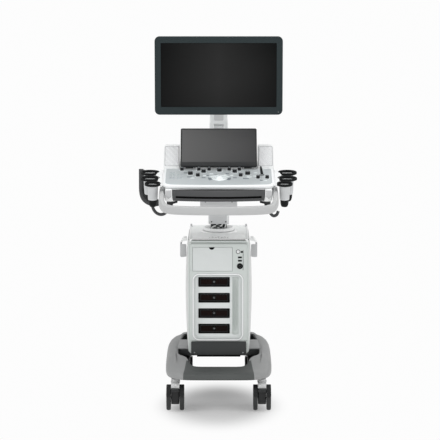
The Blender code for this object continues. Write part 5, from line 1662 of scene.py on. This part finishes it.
LONG_HOLDER_PATH = ((-0.3195, -0.0303, 0.972), (-0.3195, -0.034, 0.930), (-0.3185, -0.040, 0.880),
    (-0.3100, -0.047, 0.853), (-0.2920, -0.055, 0.838), (-0.2680, -0.062, 0.832), (-0.2450, -0.070, 0.838),
    (-0.2302, -0.0749, 0.865),)
LONG_HOLDER_WEB = ((-0.3185, 0.9700), (-0.3045, 0.9700), (-0.3000, 0.9150), (-0.2900, 0.8970),
    (-0.2640, 0.8680), (-0.2480, 0.8430), (-0.2680, 0.8330), (-0.2920, 0.8390), (-0.3095, 0.8540),)
HOOK_Y = -0.100
HOOK_PATHS = {"left": ((0.207, 0.8598), (0.207, 0.830), (0.211, 0.810), (0.223, 0.797), (0.240, 0.794),
    (0.256, 0.801), (0.267, 0.815), (0.2724, 0.8316)), "right": ((0.207, 0.8598), (0.207, 0.825),
    (0.211, 0.802), (0.224, 0.7885), (0.238, 0.793), (0.2443, 0.8076)),}


def long_holder():
    """Broad dark strap that holds a long probe: it drops outside the rings and curls under to the console."""
    node = "long_probe_holder"
    strap = sweep(smooth_path(LONG_HOLDER_PATH, 8), 0.0136, 0.0097, wide=(0, 1, 0), sides=32, power=3.4)
    piece("long_holder_strap", strap, "console", "strap", node, (node,))
    item = piece("long_holder_web", slab(LONG_HOLDER_WEB, -0.0455, -0.0345), "console", "strap", node)
    bevel(item, 0.0010, 2, 30)


def cable_hook(side, name):
    """Bent hook below the console's flank for looped probe cables, with a rounded tip."""
    node = "cable_hook_" + name
    places = [(side * x, HOOK_Y, z) for x, z in HOOK_PATHS[name]]
    hook = sweep(smooth_path(places, 8), 0.0087, 0.0062, wide=(0, 1, 0), sides=24, power=2.8)
    piece("hook_" + name, hook, "console", "strap", node, (node,))


def console():
    console_base()
    deck()
    handle()
    drawer()
    touch_screen()
    holders()


# ---------------------------------------------------------------- arm and monitor

def bar(radius, half, edge=0.0008):
    """Profile of a round bar with small chamfers."""
    inner = radius - 0.0008
    return [(inner, -half - edge), (radius, -half), (radius, half), (inner, half + edge)]


def arm():
    """Swivel foot, parallel arm with side covers and cable channel, head and tilt yoke."""
    low = Vector(JOINT["arm_pitch"]["pos_m"])
    high = Vector(JOINT["arm_level"]["pos_m"])
    foot = Vector(JOINT["arm_swivel"]["pos_m"])
    disc = [(0.0300, 0.0004), (0.0332, 0.0010), (0.0340, 0.0030), (0.0340, 0.0120), (0.0325, 0.0150),
        (0.0280, 0.0162)]
    piece("arm_foot_disc", turn(disc, foot, sides=56), "arm_foot", "column", "arm_base", ("arm_base",))
    post = block((-0.0186, low.y - 0.0256, foot.z + 0.012), (0.0186, low.y + 0.0115, low.z + 0.0035),
        0.0040, 3)
    knuckle = turn(bar(0.0158, 0.0178, 0.0010), low, "X", 40)
    piece("arm_post", merge(post, knuckle), "arm_foot", "column", "arm_base")
    pin = turn(bar(0.0058, 0.0340, 0.0009), low, "X", 24)
    piece("arm_low_pin", pin, "arm_foot", "steel", "arm_base")

    run = high - low
    length = run.length
    lean = Matrix.Translation(low) @ Matrix.Rotation(-math.atan2(run.y, run.z), 4, "X")
    rings = []
    for z, half, depth in ((-0.0168, 0.0370, 0.0150), (-0.0150, 0.0380, 0.0165), (0.0, 0.0385, 0.0170),
            (0.020, 0.0388, 0.0196), (0.060, 0.0375, 0.0197), (length * 0.5, 0.0344, 0.0198),
            (length - 0.020, 0.0329, 0.0196), (length, 0.0325, 0.0170), (length + 0.0150, 0.0322, 0.0165),
            (length + 0.0168, 0.0310, 0.0150)):
        rings.append([(u, v, z) for u, v in rounded(-half, half, -depth, depth, 0.0068, 5)])
    body = piece("arm_shell", moved(skin(rings), lean), "arm", "white", replaces=("arm_link",))
    for bottom, top in ((-0.04, 0.0236), (length - 0.0236, length + 0.04)):
        apply_boolean(body, tool(moved(block((-0.0196, -0.04, bottom), (0.0196, 0.04, top)), lean)))
    for place in (low, high):
        apply_boolean(body, tool(turn([(0.0064, -0.06), (0.0064, 0.06)], place, "X", 32)))
    bevel(body, 0.0012, 2, 40)
    for side, name in SIDES:
        channel = [moved(block(*pair(side, 0.0352, 0.0372, -0.0008, 0.0008, 0.040, length - 0.040)), lean)]
        piece("arm_seam_" + name, merge(*channel), "arm", "grey", "arm_link")
    strip = moved(soft_plate((-0.020, 0.020, 0.040, length - 0.040), 0.006, -0.0204, -0.0190, 0.0006, "Y"),
        lean)
    piece("arm_channel", strip, "arm", "column", "arm_link")

    tilt = Vector(JOINT["monitor_tilt"]["pos_m"])
    swivel = Vector(JOINT["monitor_swivel"]["pos_m"])
    knuckle = turn(bar(0.0158, 0.0178, 0.0010), high, "X", 40)
    piece("head_knuckle", knuckle, "arm_head_body", "column", "arm_head", ("arm_head",))
    beam = block((-0.0186, swivel.y + 0.002, tilt.z - 0.0176), (0.0186, high.y - 0.006, tilt.z + 0.0116),
        0.0050, 4)
    piece("head_beam", beam, "arm_head_body", "column", "arm_head")
    boss = turn(bar(0.0198, 0.0240), swivel, sides=40)
    piece("head_boss", boss, "arm_head_body", "column", "arm_head")
    pin = turn(bar(0.0058, 0.0290, 0.0009), high, "X", 24)
    piece("arm_high_pin", pin, "arm_head_body", "steel", "arm_head")

    plates = [block((-0.0238, swivel.y - 0.0298, tilt.z + sign * 0.0298 - 0.0038),
        (0.0238, swivel.y + 0.0198, tilt.z + sign * 0.0298 + 0.0038), 0.0030, 3) for sign in (-1, 1)]
    web = block((-0.0238, swivel.y - 0.0298, tilt.z - 0.0330), (0.0238, swivel.y - 0.0222, tilt.z + 0.0330),
        0.0030, 3)
    stem = block((-0.0198, tilt.y, tilt.z - 0.0118), (0.0198, swivel.y - 0.0250, tilt.z + 0.0118), 0.0020,
        2)
    piece("yoke_frame", merge(*plates, web, stem), "yoke", "column", "monitor_yoke", ("monitor_yoke",))
    barrel = turn(bar(0.0118, 0.0290), tilt, "X", 36)
    piece("yoke_barrel", barrel, "yoke", "column", "monitor_yoke")
    pin = turn(bar(0.0058, 0.0430), tilt, "X", 24)
    piece("yoke_pin", pin, "yoke", "steel", "monitor_yoke")
    knob = turn([(0.0070, 0.0), (0.0072, 0.0024), (0.0050, 0.0034)], (0, swivel.y, tilt.z + 0.0330),
        sides=24)
    piece("yoke_screw", knob, "yoke", "steel", "monitor_yoke")


def pair(side, inner, outer, front, rear, low, high):
    ends = sorted((side * inner, side * outer))
    return (ends[0], front, low), (ends[1], rear, high)


def monitor():
    """Slim dark bezel, inset glass, a lamp, keys under the edge and the white back."""
    low, high = BOX["monitor_bezel"]
    bounds = (low.x, high.x, low.z, high.z)
    glass_low, glass_high = BOX["monitor_glass"]
    rings = []
    for inset, y in ((0.0030, low.y), (0.0012, low.y + 0.0004), (0.0003, low.y + 0.0014),
            (0.0, low.y + 0.0030), (0.0, high.y - 0.0012), (0.0008, high.y - 0.0003), (0.0020, high.y)):
        rings.append([(u, y, v) for u, v in inset_rounded(bounds, 0.0200, inset, 10)])
    frame_piece = piece("bezel", skin(rings), "monitor", "bezel", replaces=("monitor_bezel",))
    window = (glass_low.x - 0.0004, glass_high.x + 0.0004, glass_low.z - 0.0004, glass_high.z + 0.0004)
    apply_boolean(frame_piece, tool(slab(rounded(*window, 0.0022, 5), low.y - 0.01, low.y + 0.0062)))
    bevel(frame_piece, 0.0005, 2, 50)
    pane = (glass_low.x, glass_high.x, glass_low.z, glass_high.z)
    piece("pane", soft_plate(pane, 0.0018, glass_low.y, glass_high.y, 0.0006, "Y"), "monitor", "screen",
        "monitor_glass", ("monitor_glass",))
    lamp = turn([(0.0013, 0.0), (0.0011, 0.0006)], (0.247, low.y - 0.0001, low.z + 0.012), "Y", 16)
    piece("power_lamp", lamp, "monitor", "grey", "monitor_bezel")
    keys = [block((0.150 + 0.016 * i, low.y + 0.006, low.z - 0.0002),
        (0.158 + 0.016 * i, low.y + 0.0125, low.z + 0.0014), 0.0005, 2) for i in range(4)]
    piece("monitor_keys", merge(*keys), "monitor", "key", "monitor_bezel")
    monitor_back(high.y, bounds)


def monitor_back(start, bounds):
    rings = []
    for inset, radius, depth in ((0.0032, 0.0180, 0.0005), (0.0032, 0.0180, 0.0040),
            (0.0046, 0.0180, 0.0090), (0.0075, 0.0180, 0.0124), (0.0170, 0.0210, 0.0166),
            (0.0300, 0.0260, 0.0218), (0.0392, 0.0290, 0.0254), (0.0500, 0.0320, 0.0290),
            (0.0660, 0.0360, 0.0328), (0.0780, 0.0390, 0.0352), (0.0840, 0.0390, 0.0358)):
        left, right, low, high = bounds
        outline = rounded(left + inset, right - inset, low + inset, high - inset, radius, 10)
        rings.append([(u, start + depth, v) for u, v in outline])
    shell = piece("monitor_shell", skin(rings), "monitor", "white", "monitor_back", ("monitor_back",))
    middle = (bounds[2] + bounds[3]) / 2
    slots = [slab(rounded(-0.1500 + 0.0115 * i - 0.0022, -0.1500 + 0.0115 * i + 0.0022, middle + 0.052,
        middle + 0.070, 0.002, 4), start + 0.0300, start + 0.0450) for i in range(27)]
    apply_boolean(shell, tool(merge(*slots)))
    bay = slab(rounded(-0.100, 0.100, middle - 0.112, middle - 0.086, 0.004, 5), start + 0.0200,
        start + 0.0450)
    apply_boolean(shell, tool(bay))
    # painted shade: a near-black floor behind the vent slots stands for their shade
    floor = slab(rounded(-0.150, 0.150, middle + 0.050, middle + 0.072, 0.004, 5), start + 0.0270,
        start + 0.0300)
    piece("monitor_vent_floor", floor, "monitor", "void", "monitor_back")
    ports = [block((-0.085 + 0.030 * i, start + 0.0190, middle - 0.1055),
        (-0.066 + 0.030 * i, start + 0.0216, middle - 0.0960), 0.0010, 2) for i in range(6)]
    piece("monitor_ports", merge(*ports), "monitor", "black", "monitor_back")
    tilt = Vector(JOINT["monitor_tilt"]["pos_m"])
    mount = soft_plate((-0.050, 0.050, tilt.z - 0.050, tilt.z + 0.050), 0.006, start + 0.0330,
        start + 0.0390, 0.0012, "Y")
    piece("monitor_mount_plate", mount, "monitor", "dark", "monitor_back")
    heads = [screw_head((side * 0.0400, start + 0.0390, tilt.z + lift * 0.0400), 0.0045, "Y", 1)
        for side in (-1, 1) for lift in (-1, 1)]
    piece("monitor_mount_screws", merge(*heads), "monitor", "steel", "monitor_back")
    for side, name in SIDES:
        ends = sorted((side * 0.0307, side * 0.0423))
        outline = [(start + 0.0300, tilt.z - 0.0158), (tilt.y + 0.004, tilt.z - 0.0158)]
        for step in range(1, 12):
            angle = -math.pi / 2 + math.pi * step / 12
            outline.append((tilt.y + 0.0010 + 0.0105 * math.cos(angle), tilt.z + 0.0158 * math.sin(angle)))
        outline += [(tilt.y + 0.004, tilt.z + 0.0158), (start + 0.0300, tilt.z + 0.0158)]
        lug = piece("monitor_lug_" + name, slab(outline, *ends, "X"), "monitor", "white", "monitor_back")
        apply_boolean(lug, tool(turn([(0.0064, -0.06), (0.0064, 0.06)], tilt, "X", 28)))


# ---------------------------------------------------------------- studio

SHADOW_CENTRE = (0.0, -0.155, 0.0)
SHADOW_REACH = (0.31, 0.45, 1.0)
SHADOW_LIFT = 0.2
FLOOR_COLOUR = (0.64, 0.64, 0.64, 1)
BACKDROP = 0.98
WORLD_STRENGTH = 0.62
CAMERA_PLACE = (0.0054, -7.96, 2.12)
CAMERA_DROP = 9.74                       # degrees below level
CAMERA_LENS = 158.9
LIGHTS = (                               # name, place, target, size, power
    ("key", (-3.3, -2.0, 2.7), (0, 0, 0.8), 2.2, 36),
    ("fill", (3.3, -2.0, 2.5), (0, 0, 0.8), 2.2, 32),
    ("front", (0.0, -5.2, 0.9), (0, 0, 0.8), 3.0, 25),
    ("top", (0.0, -0.4, 4.2), (0, 0, 0.0), 2.6, 40),
    ("rear", (1.8, 3.2, 2.6), (0, 0, 1.0), 2.0, 14),
)


def floor_material():
    """Pale floor that shades near the machine and fades into the backdrop, so no horizon shows."""
    mat = bpy.data.materials.new("floor")
    mat.use_nodes = True
    nodes, links = mat.node_tree.nodes, mat.node_tree.links
    nodes.clear()
    out = nodes.new("ShaderNodeOutputMaterial")
    mix = nodes.new("ShaderNodeMixShader")
    diffuse = nodes.new("ShaderNodeBsdfDiffuse")
    glow = nodes.new("ShaderNodeEmission")
    place = nodes.new("ShaderNodeTexCoord")
    length = nodes.new("ShaderNodeVectorMath")
    spread = nodes.new("ShaderNodeMapping")
    fade = nodes.new("ShaderNodeMapRange")
    diffuse.inputs["Color"].default_value = FLOOR_COLOUR
    glow.inputs["Color"].default_value = (1, 1, 1, 1)
    glow.inputs["Strength"].default_value = BACKDROP
    length.operation = "LENGTH"
    spread.vector_type = "TEXTURE"
    spread.inputs["Location"].default_value = SHADOW_CENTRE
    spread.inputs["Scale"].default_value = SHADOW_REACH
    fade.interpolation_type = "SMOOTHERSTEP"
    fade.inputs["From Min"].default_value = 0.35
    fade.inputs["From Max"].default_value = 1.0
    fade.inputs["To Min"].default_value = SHADOW_LIFT
    links.new(place.outputs["Object"], spread.inputs["Vector"])
    links.new(spread.outputs["Vector"], length.inputs[0])
    links.new(length.outputs["Value"], fade.inputs["Value"])
    links.new(fade.outputs["Result"], mix.inputs["Fac"])
    links.new(diffuse.outputs["BSDF"], mix.inputs[1])
    links.new(glow.outputs["Emission"], mix.inputs[2])
    links.new(mix.outputs["Shader"], out.inputs["Surface"])
    return mat


def studio():
    bpy.ops.mesh.primitive_circle_add(vertices=128, radius=9.0, fill_type="NGON", location=(0, 0, -0.0002))
    floor = bpy.context.active_object
    floor.name = "studio_floor"
    floor.data.materials.append(floor_material())
    for name, place, target, size, power in LIGHTS:
        data = bpy.data.lights.new(name, "AREA")
        data.shape = "SQUARE"
        data.size = size
        data.energy = power
        lamp = bpy.data.objects.new("studio_" + name, data)
        bpy.context.scene.collection.objects.link(lamp)
        lamp.location = place
        lamp.rotation_euler = (Vector(target) - Vector(place)).to_track_quat("-Z", "Y").to_euler()
    data = bpy.data.cameras.new("camera")
    data.lens = CAMERA_LENS
    data.sensor_width = 36
    camera = bpy.data.objects.new("studio_camera", data)
    bpy.context.scene.collection.objects.link(camera)
    camera.location = CAMERA_PLACE
    camera.rotation_euler = (math.radians(90 - CAMERA_DROP), 0, 0)
    bpy.context.scene.camera = camera
    world_light()


def world_light():
    world = bpy.data.worlds.new("studio_world")
    bpy.context.scene.world = world
    world.use_nodes = True
    nodes, links = world.node_tree.nodes, world.node_tree.links
    nodes.clear()
    out = nodes.new("ShaderNodeOutputWorld")
    mix = nodes.new("ShaderNodeMixShader")
    path = nodes.new("ShaderNodeLightPath")
    ambient = nodes.new("ShaderNodeBackground")
    backdrop = nodes.new("ShaderNodeBackground")
    ambient.inputs["Strength"].default_value = WORLD_STRENGTH
    ambient.inputs["Color"].default_value = (1, 1, 1, 1)
    backdrop.inputs["Color"].default_value = (1, 1, 1, 1)
    backdrop.inputs["Strength"].default_value = BACKDROP
    links.new(path.outputs["Is Camera Ray"], mix.inputs["Fac"])
    links.new(ambient.outputs["Background"], mix.inputs[1])
    links.new(backdrop.outputs["Background"], mix.inputs[2])
    links.new(mix.outputs["Shader"], out.inputs["Surface"])
    view = bpy.context.scene.view_settings
    view.view_transform = "Standard"


def main():
    casters()
    base()
    tower()
    column()
    console()
    arm()
    monitor()
    studio()


main()
